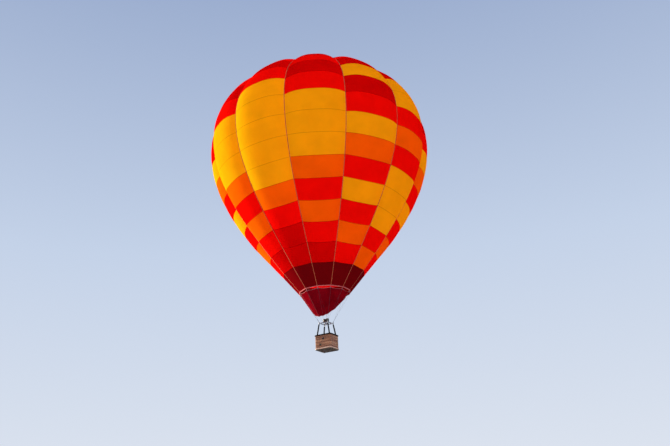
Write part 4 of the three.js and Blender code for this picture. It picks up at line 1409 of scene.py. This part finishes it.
@dataclass
class GimbalRing(Assembly):
    """A rectangular ring of flat bar, pinned to the frame along X and to the burner along Y."""

    x: float = 0.6
    y: float = 0.52
    bar: float = 0.022
    thickness: float = 0.024
    pin: float = 0.008
    reach: float = 0.368
    corner: float = 0.03

    def make(self) -> None:
        """Makes the ring with its pins and its bushes."""
        skin = Skin()
        outline = rounded_rectangle(self.x - self.bar, self.y - self.bar, self.corner, 8)
        path = []
        for a, b in zip(outline, np.roll(outline, -1, axis=0)):
            steps = max(1, round(float(np.linalg.norm(b - a)) / 0.1))
            path += [[*(a + (b - a) * k / steps), FRAME_HEIGHT] for k in range(steps)]
        section = rounded_rectangle(self.bar, self.thickness, 0.004)
        skin.sweep(np.array(path), section, closed=True, up=UP)
        length = self.reach - self.x / 2
        pin = [(self.pin, 0), (self.pin, length), (self.pin * 0.7, length + 0.002)]
        washer = [(0.013, 0), (0.016, 0.001), (0.016, 0.006), (0.013, 0.007)]
        bush = [(0.0095, 0), (0.015, 0), (0.015, 0.009), (0.0095, 0.009)]
        for side in (-1, 1):
            start = (side * (self.x / 2 - 0.002), 0, FRAME_HEIGHT)
            skin.lathe(pin, start, (side, 0, 0), 20)
            skin.lathe(washer, start, (side, 0, 0), 24, 1)
            seat = (0, side * (self.y / 2 - self.bar * 0.1), FRAME_HEIGHT)
            skin.lathe(bush, seat, (0, side, 0), 24, 1, True)
        skin.piece("gimbal_ring_bar", [self.shop.steel, self.shop.alloy], "steel", "gimbal_ring",
                   body=Body.GIMBAL)


class Part(IntEnum):
    """What each part of the burner is made of, in the order of its materials."""

    BODY = 0
    HOT = 1
    FITTING = 2
    GRIP = 3
    FACE = 4


@dataclass
class Burner(Assembly):
    """Two coil cans on a machined valve block, with levers, gauges, jets and pivot pins."""

    spacing: float = 0.25
    can_radius: float = 0.112
    can_base: float = 0.09
    can_top: float = 0.32
    sheet: float = 0.003
    coil_radius: float = 0.088
    coil_tube: float = 0.008
    coil_turns: int = 7
    jet_circle: float = 0.045

    def can(self, skin: Skin, side: int) -> None:
        """Adds the can on one side of the X axis: a rolled shell with a flared foot, bands and air holes."""
        r, wall, base, top = self.can_radius, self.sheet, self.can_base, self.can_top
        centre = np.array([side * self.spacing / 2, 0, FRAME_HEIGHT])
        outline = [(r * 0.6, base), (r * 0.64, base), (r, base + 0.04), (r, top - 0.01),
                   (r + 0.0035, top - 0.006), (r + 0.002, top), (r - wall, top - 0.002),
                   (r - wall, base + 0.042), (r * 0.62, base + wall)]
        skin.lathe(outline, centre, sides=48, mark=Part.HOT, closed=True)
        plate = [(0.02, 0), (r * 0.63, 0.0), (r * 0.63, 0.003), (0.02, 0.003)]
        skin.lathe(plate, centre + UP * (base + 0.001), sides=40, mark=Part.HOT, closed=True)
        for rise in (base + 0.06, base + 0.185):
            band = [(r, rise), (r + 0.0025, rise + 0.003), (r + 0.0025, rise + 0.009), (r, rise + 0.012)]
            skin.lathe(band, centre, sides=48, mark=Part.HOT)
        rim = [(0.0055, 0), (0.0085, 0.0), (0.0085, 0.0018), (0.0055, 0.0018)]
        for out in map(direction, turns(16)):
            at = centre + UP * (base + 0.052) + out * (r + 0.0005)
            skin.lathe(rim, at, out, 12, Part.HOT, True)

    def coil(self, skin: Skin, side: int) -> None:
        """Adds the vaporising coil inside the can on one side, with its jet ring and pilot light."""
        centre = np.array([side * self.spacing / 2, 0, FRAME_HEIGHT])
        low, high = self.can_base + 0.055, self.can_top - 0.02
        helix = [centre + self.coil_radius * direction(2 * pi * self.coil_turns * share)
                 + UP * (low + (high - low) * share) for share in np.linspace(0, 1, self.coil_turns * 24)]
        skin.tube(helix, self.coil_tube, 10, Part.HOT)
        ring = level_ring(centre + UP * (low - 0.01), self.jet_circle, 32)
        skin.tube(ring, 0.006, 8, Part.FITTING, closed=True)
        for nozzle in level_ring(centre + UP * (low - 0.004), self.jet_circle, 12):
            skin.lathe([(0.0035, 0), (0.0035, 0.009), (0.0018, 0.012)], nozzle, sides=8, mark=Part.FITTING)
        pilot = [(0.012, 0), (0.012, 0.05), (0.016, 0.052), (0.016, 0.075), (0.009, 0.078)]
        skin.lathe(pilot, centre + UP * (self.can_base - 0.002), sides=20, mark=Part.FITTING)

    def valve(self, skin: Skin, side: int) -> None:
        """Adds the valve gear under the can on one side: stem, blast valve lever, gauge and fuel union."""
        x, z = side * self.spacing / 2, FRAME_HEIGHT
        stem = [(0.014, -0.11), (0.02, -0.108), (0.024, -0.1), (0.024, -0.07), (0.018, -0.064),
                (0.018, -0.04), (0.024, -0.032), (0.024, 0.07), (0.02, 0.094), (0.014, 0.096)]
        skin.lathe(stem, (x, 0, z), sides=28)
        nut = [(0.016, 0), (0.021, 0.002), (0.021, 0.014), (0.016, 0.016)]
        skin.lathe(nut, (x, 0, z - 0.06), sides=6, mark=Part.FITTING)
        lever = smooth_path([(x, -side * reach, z - drop) for reach, drop in
                             ((0.0, 0.07), (0.04, 0.066), (0.09, 0.07), (0.142, 0.074))], 0.01)
        skin.tube(lever, 0.0055, 10)
        grip = smooth_path([(x, -side * reach, z - drop) for reach, drop in
                            ((0.075, 0.068), (0.11, 0.071), (0.144, 0.074))], 0.008)
        skin.sweep(grip, rounded_rectangle(0.024, 0.016, 0.006, 4), Part.GRIP, up=UP)
        gauge = np.array([x + side * 0.001, side * 0.036, z - 0.012])
        toward = np.array([0, side, 0])
        skin.lathe([(0.018, 0), (0.021, 0.001), (0.021, 0.016), (0.018, 0.018)], gauge, toward, 28)
        face = [(0.004, 0.0), (0.0178, 0.0), (0.0178, 0.0012), (0.004, 0.0012)]
        skin.lathe(face, gauge + toward * 0.0178, toward, 28, Part.FACE)
        union = [(0.008, -0.004), (0.012, 0), (0.012, 0.016), (0.009, 0.02), (0.009, 0.034), (0.007, 0.036)]
        skin.lathe(union, (x + side * 0.036, 0, z - 0.01), (side, 0, 0), 18, Part.FITTING)

    def make(self) -> None:
        """Makes the burner."""
        skin = Skin()
        for size, bevel in (((self.spacing + 0.09, 0.07, 0.06), 0.006), ((0.044, 0.464, 0.03), 0.005)):
            skin.block(UP * FRAME_HEIGHT, size, bevel, Part.BODY)
        pin = [(0.008, 0), (0.008, 0.05), (0.006, 0.052)]
        bolt = [(0.0055, 0), (0.0055, 0.004), (0.004, 0.005)]
        for side in (-1, 1):
            skin.lathe(pin, (0, side * 0.206, FRAME_HEIGHT), (0, side, 0), 20)
            self.can(skin, side)
            self.coil(skin, side)
            self.valve(skin, side)
            for along in (0.03, 0.07, 0.11):
                at = (side * along, side * 0.0355, FRAME_HEIGHT + 0.018)
                skin.lathe(bolt, at, (0, side, 0), 6, Part.HOT)
        materials = [self.shop.alloy, self.shop.dark_steel, self.shop.brass, self.shop.grip, self.shop.dial]
        skin.piece("burner_twin", materials, "steel", "burner", body=Body.BURNER)


@dataclass
class Uprights(Assembly):
    """Four leaning uprights in padded black covers, with a zip and three straps each."""

    head: float = HALF_FRAME
    low: float = UNDERSIDE + 0.9004
    high: float = UNDERSIDE + 1.8896
    radius: float = 0.049
    # What tapers off its ends, what the straps and the zip draw in, how far each reaches, and the creases
    taper: float = 0.16
    taper_reach: float = 0.03
    tied: float = 0.08
    tied_reach: float = 0.012
    groove: float = 0.06
    groove_reach: float = 0.1
    crease: float = 0.02
    straps: tuple[float, ...] = (0.25, 0.62, 0.93)
    steps: int = 60
    sides: int = 28

    def size(self, turn: float, share: float, corner: Corner) -> float:
        """The cover's radius in one direction at a share of its height, with its creases."""
        full = 1.0 - self.taper * max(0.0, 1 - min(share, 1 - share) / self.taper_reach)
        tied = sum(self.tied * exp(-((share - at) / self.tied_reach) ** 2) for at in self.straps)
        crease = self.crease * sin(5 * turn + 34 * share) * sin(17 * share + corner.azimuth)
        from_zip = (turn - corner.azimuth + pi) % (2 * pi) - pi
        groove = self.groove * exp(-((from_zip / self.groove_reach) ** 2))
        return self.radius * (full - tied + crease - groove)

    def cover(self, corner: Corner) -> None:
        """Makes the cover that stands in a corner, with its zip and straps."""
        foot = corner.at(POST_X, POST_Y, self.low)
        run = corner.at(self.head, self.head, self.high) - foot
        skin = Skin()
        skin.loft(np.array([[foot + run * share + direction(turn) * self.size(turn, share, corner)
                             for turn in turns(self.sides)] for share in np.linspace(0, 1, self.steps + 1)]))
        name = f"upright_{corner.name}"
        skin.piece(f"{name}_cover", [self.shop.cover], "cover", name, crisp=60)
        trim = Skin()
        out = direction(corner.azimuth) * self.radius
        trim.tube([foot + run * share + out * 0.955 for share in np.linspace(0.04, 0.96, 40)], 0.0022, 6)
        strap = [(self.radius * 0.93, -0.011), (self.radius * 0.985, -0.01), (self.radius * 0.985, 0.01),
                 (self.radius * 0.93, 0.011)]
        for share in self.straps:
            centre = foot + run * share
            trim.lathe(strap, centre, mark=1, closed=True)
            trim.block(centre - out * 0.96, (0.006, 0.026, 0.026), 0.002, 0, corner.azimuth)
        trim.piece(f"{name}_trim", [self.shop.zip, self.shop.cover], "cover")

    def make(self) -> None:
        """Makes the four covers."""
        for corner in CORNERS:
            self.cover(corner)


# Basket


@dataclass
class Basket(Assembly):
    """A wicker basket with a padded rim, a rawhide skirt, a plywood floor and hardwood runners."""

    x: float = 1.32
    y: float = 1.15
    corner: float = 0.13
    post: float = 0.0335
    post_wrap: float = 0.0022
    post_top: float = UNDERSIDE + 0.899
    wall: float = 0.032
    low: float = ON_FLOOR
    high: float = UNDERSIDE + 1.01
    rod: float = 0.0072
    # Rows as a share of a rod's height apart, and rods stretched so that no light shows between the rows
    row_share: float = 0.98
    rod_stretch: tuple[float, float] = (1.05, 1.38)
    stake: float = 0.006
    stake_step: float = 0.05
    stakes: int = 72
    samples: int = 4
    steps: tuple[tuple[float, float], ...] = ((0.045, 0.76), (-0.19, 0.37))
    step_width: float = 0.12
    step_height: float = 0.11
    step_margin: float = 0.012
    rim_width: float = 0.104
    rim_height: float = 0.092
    tucks: int = 50
    tuck_steps: int = 6
    tuck_depth: float = 0.018
    lace: float = 0.0025
    skirt_height: float = 0.095
    skirt: float = 0.016
    skirt_points: int = 260

    def perimeter(self, inset: float, count: int) -> tuple[np.ndarray, np.ndarray]:
        """Evenly spaced points round the wall.

        Args:
            inset: Distance inside the wall's outer face.
            count: How many points.

        Returns:
            The points and the outward directions there.
        """
        radius = self.corner - inset
        arc = radius * pi / 2
        runs = [self.x - 2 * self.corner, self.y - 2 * self.corner] * 2
        points, outs = [], []
        for left in np.arange(count) / count * (sum(runs) + 4 * arc):
            for side, run in enumerate(runs):
                forward, out = direction(side * pi / 2)[:2], direction((side - 1) * pi / 2)[:2]
                start = out * ((self.y, self.x)[side % 2] / 2 - inset) - forward * run / 2
                if left <= run + arc:
                    turn = max(left - run, 0.0) / radius
                    outs.append(out * cos(turn) + forward * sin(turn))
                    points.append(start + forward * min(left, run) + (outs[-1] - out) * radius)
                    break
                left -= run + arc
        return np.array(points), np.array(outs)

    def in_step(self, point: np.ndarray, height: float) -> bool:
        """True where a place on the wall falls in one of the step holes."""
        if abs(abs(point[1]) - self.y / 2) > self.wall * 1.5:
            return False
        return any(abs(point[0] - across) < self.step_width / 2 + self.step_margin
                   and abs(height - UNDERSIDE - up) < self.step_height / 2 + self.step_margin
                   for across, up in self.steps)

    def stretches(self, free: Sequence[bool], least: int) -> list[slice]:
        """The unbroken runs in a row of places that are free, where they have a least count of places."""
        edges = np.flatnonzero(np.diff([False, *free, False]))
        return [slice(start, end) for start, end in zip(edges[::2], edges[1::2]) if end - start >= least]

    def weave(self) -> None:
        """Makes the wall: upright stakes with willow rods woven round them row by row."""
        count = self.stakes * self.samples
        middle, outs = self.perimeter(self.wall / 2, count)
        skin = Skin()
        rows = int((self.high - self.low) / (2 * self.rod * self.row_share))
        section = circle(self.rod, 5) * self.rod_stretch
        swing = (self.wall / 2 - self.rod - 0.001) * np.cos(pi * np.arange(count) / self.samples)
        for row, height in enumerate(np.linspace(self.low + self.rod, self.high - self.rod, rows)):
            line = np.column_stack([middle + outs * (swing * (-1) ** row)[:, None], np.full(count, height)])
            free = [not self.in_step(point, height) for point in middle]
            if all(free):
                skin.sweep(line, section, closed=True, up=UP)
                continue
            first = free.index(False)
            for run in self.stretches(np.roll(free, -first), 3):
                skin.sweep(np.roll(line, -first, axis=0)[run], section, up=UP)
        heights = np.arange(self.low, self.high - 0.004, self.stake_step)
        for point in middle[::self.samples]:
            for run in self.stretches([not self.in_step(point, height) for height in heights], 2):
                skin.tube([[*point, height] for height in heights[run][[0, -1]]], self.stake, 8, 1)
        skin.piece("basket_wall_wicker", [self.shop.willow, self.shop.stakes], "wicker", "basket_wall")

    def posts(self) -> None:
        """Makes the corner posts inside the wall, wrapped in cane, and the leather round the step holes."""
        skin = Skin()
        for corner in CORNERS:
            skin.loft(np.array([
                level_ring(corner.at(POST_X, POST_Y, height), self.post + self.post_wrap * (k % 2), 20)
                for k, height in enumerate(np.linspace(self.low, self.post_top, 120))]))
        outline = rounded_rectangle(self.step_width + 0.012, self.step_height + 0.012, 0.014, 4)
        section = rounded_rectangle(0.016, self.wall + 0.012, 0.005)
        for side in (-1, 1):
            for across, up in self.steps:
                centre = [across, side * (self.y / 2 - self.wall / 2), UNDERSIDE + up]
                path = outline @ [[1, 0, 0], [0, 0, 1]] + centre
                skin.sweep(path, section, 1, closed=True, up=(0, 1, 0))
        skin.piece("basket_posts_and_steps", [self.shop.stakes, self.shop.harness], "wicker")

    def rim(self) -> None:
        """Makes the padded rim with its lacing."""
        points, outs = self.perimeter(self.wall / 2, self.tucks * self.tuck_steps)
        middle = self.high + GAP + self.rim_height / 2
        rings = []
        for k, (point, out) in enumerate(zip(points, outs)):
            full = 1 - self.tuck_depth * (0.5 - 0.5 * cos(2 * pi * k / self.tuck_steps)) ** 2
            ring = []
            for x, y in circle(1, 20):
                reach = (self.rim_width / 2 - 0.001) * full * copysign(abs(x) ** 0.9, x)
                rise = self.rim_height / 2 * full * copysign(abs(y) ** 0.85, y)
                ring.append([*(point + out * reach), middle + rise])
            rings.append(ring)
        skin = Skin()
        skin.loft(np.array(rings), closed=True)
        rim = skin.piece("basket_rim_suede", [self.shop.suede], "leather", "basket_rim", crisp=180)
        lace = Skin()
        laced = slice(self.tuck_steps // 2, None, self.tuck_steps)
        for point, out in zip(points[laced], outs[laced]):
            lace.tube([[*(point + out * (self.rim_width / 2 + 0.001) * cos(turn)),
                        middle + (self.rim_height / 2 + 0.001) * sin(turn)]
                       for turn in np.radians(np.linspace(200, 340, 9))], self.lace, 6)
        lace.piece("basket_rim_lacing", [self.shop.harness], "leather")

    def skirting(self) -> None:
        """Makes the skirt with its lacing."""
        points, outs = self.perimeter(-GAP, self.skirt_points)
        skin = Skin()
        top = self.low + self.skirt_height
        rings = []
        for k, (point, out) in enumerate(zip(points, outs)):
            wave = 0.0015 * sin(2 * pi * k / 20)
            section = [(0.0, self.low), (self.skirt * 0.5 + wave, self.low),
                       (self.skirt * 0.55, self.low + 0.02), (self.skirt * 0.45 + wave, top - 0.006),
                       (self.skirt * 0.3, top), (0.0, top)]
            rings.append([[*(point + out * reach), height] for reach, height in section])
        skin.loft(np.array(rings), closed=True)
        face = points + outs * (self.skirt * 0.62)
        for k in range(0, self.skirt_points, 4):
            skin.tube([[*face[k], top - 0.022], [*face[k + 2], top - 0.004]], 0.002, 6, 1)
        skin.piece("basket_skirt_rawhide", [self.shop.rawhide, self.shop.harness], "rawhide", "basket_skirt")

    def base(self) -> None:
        """Makes the floor board and the runners with their bolts."""
        low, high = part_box("basket_floor")
        board = Skin()
        bevel = 0.003
        size = high - low
        rings = []
        for inset, height in [(bevel, low.z), (0, low.z + bevel), (0, high.z - bevel), (bevel, high.z)]:
            outline = rounded_rectangle(size.x - 2 * inset, size.y - 2 * inset, 0.152 - inset, 10)
            rings.append(np.column_stack([outline, np.full(len(outline), height)]))
        board.loft(np.array(rings))
        board.piece("basket_floor_board", [self.shop.plywood], "plywood", "basket_floor")
        runners = Skin()
        names = [f"runner_{number}" for number in range(1, 5)]
        for name in names:
            low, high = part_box(name)
            centre = (low + high) / 2
            runners.block(centre, high - low, 0.006)
            for bolt in range(-2, 3):
                runners.lathe([(0.009, 0), (0.009, 0.0015), (0.006, 0.002)],
                              (bolt * 0.24, centre.y, low.z + 0.0005), -UP, 16, 1)
        runners.piece("basket_runners", [self.shop.oak, self.shop.steel], "skid", *names)

    def make(self) -> None:
        """Makes the basket."""
        self.weave()
        self.posts()
        self.rim()
        self.skirting()
        self.base()


@dataclass
class FuelCylinders(Assembly):
    """Four fuel cylinders in padded jackets, with collars, valves and straps."""

    radius: float = 0.148
    height: float = 0.8
    x: float = 0.46
    y: float = 0.158
    base: float = ON_FLOOR
    # The jacket: its radius as a share of the cylinder's, its quilting, and where it starts and stops
    jacket: float = 0.965
    quilt: float = 0.0035
    quilt_rows: int = 6
    jacket_low: float = 0.075
    jacket_top: float = 0.16
    strap_shares: tuple[float, ...] = (0.3, 0.68)

    def cylinder(self, number: int, centre: np.ndarray) -> None:
        """Makes one cylinder with its jacket and fittings.

        Args:
            number: Its number, from 1.
            centre: The middle of its foot.
        """
        r, h = self.radius, self.height
        body = Skin()
        shell = [(r * 0.7, 0), (r * 0.81, 0), (r * 0.81, 0.03), (r * 0.9, 0.05), (r * 0.94, 0.08),
                 (r * 0.94, h - 0.16), (r * 0.86, h - 0.115), (r * 0.7, h - 0.09), (r * 0.35, h - 0.08),
                 (r * 0.16, h - 0.078)]
        body.lathe(shell, centre, sides=40)
        collar = [(r * 0.575, h - 0.1), (r * 0.595, h - 0.1), (r * 0.595, h - 0.004), (r * 0.58, h),
                  (r * 0.57, h - 0.004), (r * 0.56, h - 0.1)]
        body.lathe(collar, centre, sides=40, closed=True)
        valve = [(0.018, h - 0.078), (0.018, h - 0.05), (0.024, h - 0.048), (0.024, h - 0.03),
                 (0.014, h - 0.026)]
        body.lathe(valve, centre, sides=20, mark=1)
        wheel = [(0.02, 0), (0.026, 0.002), (0.026, 0.012), (0.02, 0.014)]
        body.lathe(wheel, centre + UP * (h - 0.024), sides=12, mark=2)
        outlet = [(0.006, 0), (0.01, 0.001), (0.01, 0.035), (0.006, 0.036)]
        body.lathe(outlet, centre + UP * (h - 0.04), (copysign(1, centre[0]), 0, 0), 14, 1)
        name = f"fuel_cylinder_{number}"
        body.piece(f"{name}_shell", [self.shop.steel, self.shop.brass, self.shop.grip], "cylinder", name)
        jacket = Skin()
        rings = []
        for share in np.linspace(0, 1, 49):
            quilt = self.quilt * abs(sin(share * pi * self.quilt_rows))
            quilt -= 0.006 * max(0.0, 1 - min(share, 1 - share) / 0.03)
            rise = self.jacket_low + share * (h - self.jacket_top - self.jacket_low)
            rings.append(level_ring(centre + UP * rise, r * self.jacket + quilt, 48))
        rings += [level_ring([*centre[:2], ring[0][2]], r * 0.945, 48) for ring in (rings[-1], rings[0])]
        jacket.loft(np.array(rings), closed=True)
        jacket.piece(f"{name}_jacket", [self.shop.jacket], "cover", crisp=60)

    def make(self) -> None:
        """Makes the four cylinders and the straps that hold them."""
        straps = Skin()
        r = self.radius * self.jacket + self.quilt
        band = [(r - 0.002, -0.019), (r + 0.001, -0.019), (r + 0.001, 0.019), (r - 0.002, 0.019)]
        for number, (x, y) in enumerate([(-1, -1), (-1, 1), (1, -1), (1, 1)], 1):
            centre = np.array([x * self.x, y * self.y, self.base])
            self.cylinder(number, centre)
            for share in self.strap_shares:
                middle = centre + UP * share * self.height
                straps.lathe(band, middle, sides=48, closed=True)
                straps.block(middle - [x * r, 0, 0], (0.007, 0.04, 0.046), 0.002, 1)
        straps.piece("cylinder_straps", [self.shop.harness, self.shop.steel], "leather")


# Studio


@dataclass(frozen=True)
class Sun:
    """A distant light, in degrees: how far to the camera's left, how high, and how wide it looks."""

    name: str
    left: float
    high: float
    wide: float
    strength: float
    colour: str


@dataclass
class Studio:
    """The camera below the balloon, the pale floor and the soft light."""

    picture_width: int = 670
    focal_pixels: float = 686.742
    azimuth: float = radians(31.18)
    distance: float = 48.19
    camera_height: float = -25.707
    yaw: float = radians(1.165)
    pitch: float = radians(23.249)
    roll: float = radians(-2.705)
    floor_height: float = -25.75
    floor_size: float = 1400.0
    sky: tuple[tuple[float, str], ...] = ((0.0, "#E0E6F0"), (0.35, "#C4D2E8"), (1.0, "#5676AE"))
    suns: tuple[Sun, ...] = (Sun("key", 120, 7, 5, 7.8, "#FFF2DC"), Sun("fill", 20, 0, 120, 1.3, "#FFFFFF"))

    def camera(self) -> None:
        """Places the camera at the photograph's viewing angle."""
        away = Vector((sin(self.azimuth), -cos(self.azimuth), 0))
        right = Vector((cos(self.azimuth), sin(self.azimuth), 0))
        level = sin(self.yaw) * right - cos(self.yaw) * away
        forward = cos(self.pitch) * level + sin(self.pitch) * Vector(UP)
        side = cos(self.yaw) * right + sin(self.yaw) * away
        up = side.cross(forward)
        data = bpy.data.cameras.new("camera")
        data.sensor_width = 36.0
        data.lens = self.focal_pixels * data.sensor_width / self.picture_width
        data.clip_end = 2000.0
        camera = add_object("camera", data)
        axes = Matrix((cos(self.roll) * side + sin(self.roll) * up,
                       cos(self.roll) * up - sin(self.roll) * side, -forward)).transposed()
        place = away * self.distance + Vector(UP) * self.camera_height
        camera.matrix_world = Matrix.Translation(place) @ axes.to_4x4()
        bpy.context.scene.camera = camera

    def light(self) -> None:
        """Sets a soft sky that darkens upwards, and a low key light from behind on the camera's left."""
        scene = bpy.context.scene
        scene.view_settings.view_transform = "Standard"
        scene.world = bpy.data.worlds.new("sky")
        scene.world.use_nodes = True
        nodes = Nodes(scene.world.node_tree)
        height = nodes.add("SeparateXYZ", {0: nodes.add("TexCoord").outputs["Generated"]}).outputs["Z"]
        nodes.feed(nodes.tree.nodes["Background"], {"Color": nodes.shade(height, *self.sky)})
        for sun in self.suns:
            self.shine(sun)

    def shine(self, sun: Sun) -> None:
        """Adds a distant light."""
        turn, rise = self.azimuth - radians(sun.left), radians(sun.high)
        source = Vector((sin(turn) * cos(rise), -cos(turn) * cos(rise), sin(rise)))
        data = bpy.data.lights.new(sun.name, "SUN")
        data.energy = sun.strength
        data.angle = radians(sun.wide)
        data.color = srgb(sun.colour)[:3]
        light = add_object(sun.name, data)
        light.rotation_mode = "QUATERNION"
        light.rotation_quaternion = source.to_track_quat("Z", "Y")

    def floor(self) -> None:
        """Lays the pale floor just below the camera."""
        half = self.floor_size / 2
        mesh = bpy.data.meshes.new("floor")
        corners = [(x * half, y * half, self.floor_height) for x, y in ((-1, -1), (1, -1), (1, 1), (-1, 1))]
        mesh.from_pydata(corners, [], [(0, 1, 2, 3)])
        mesh.materials.append(Moulded("pale floor", "#DDE0E4", "#E6E9EC", 0.9, 0.0).make())
        add_object("floor", mesh)

    def make(self) -> None:
        """Sets up the studio."""
        self.camera()
        self.light()
        self.floor()


def write_sizes() -> None:
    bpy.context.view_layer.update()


def main() -> None:
    """Builds the balloon piece by piece."""
    logging.basicConfig(level=logging.INFO, format="%(message)s")
    Studio().make()
    shop = Workshop()
    envelope = Envelope(shop)
    rigged = [ParachuteValve(shop, envelope), Scoop(shop, envelope), Rigging(shop, envelope)]
    carried = [kind(shop) for kind in (LoadFrame, GimbalRing, Burner, Uprights, Basket, FuelCylinders)]
    for assembly in (envelope, *rigged, *carried):
        assembly.make()
    write_sizes()


if __name__ == "__main__":
    main()
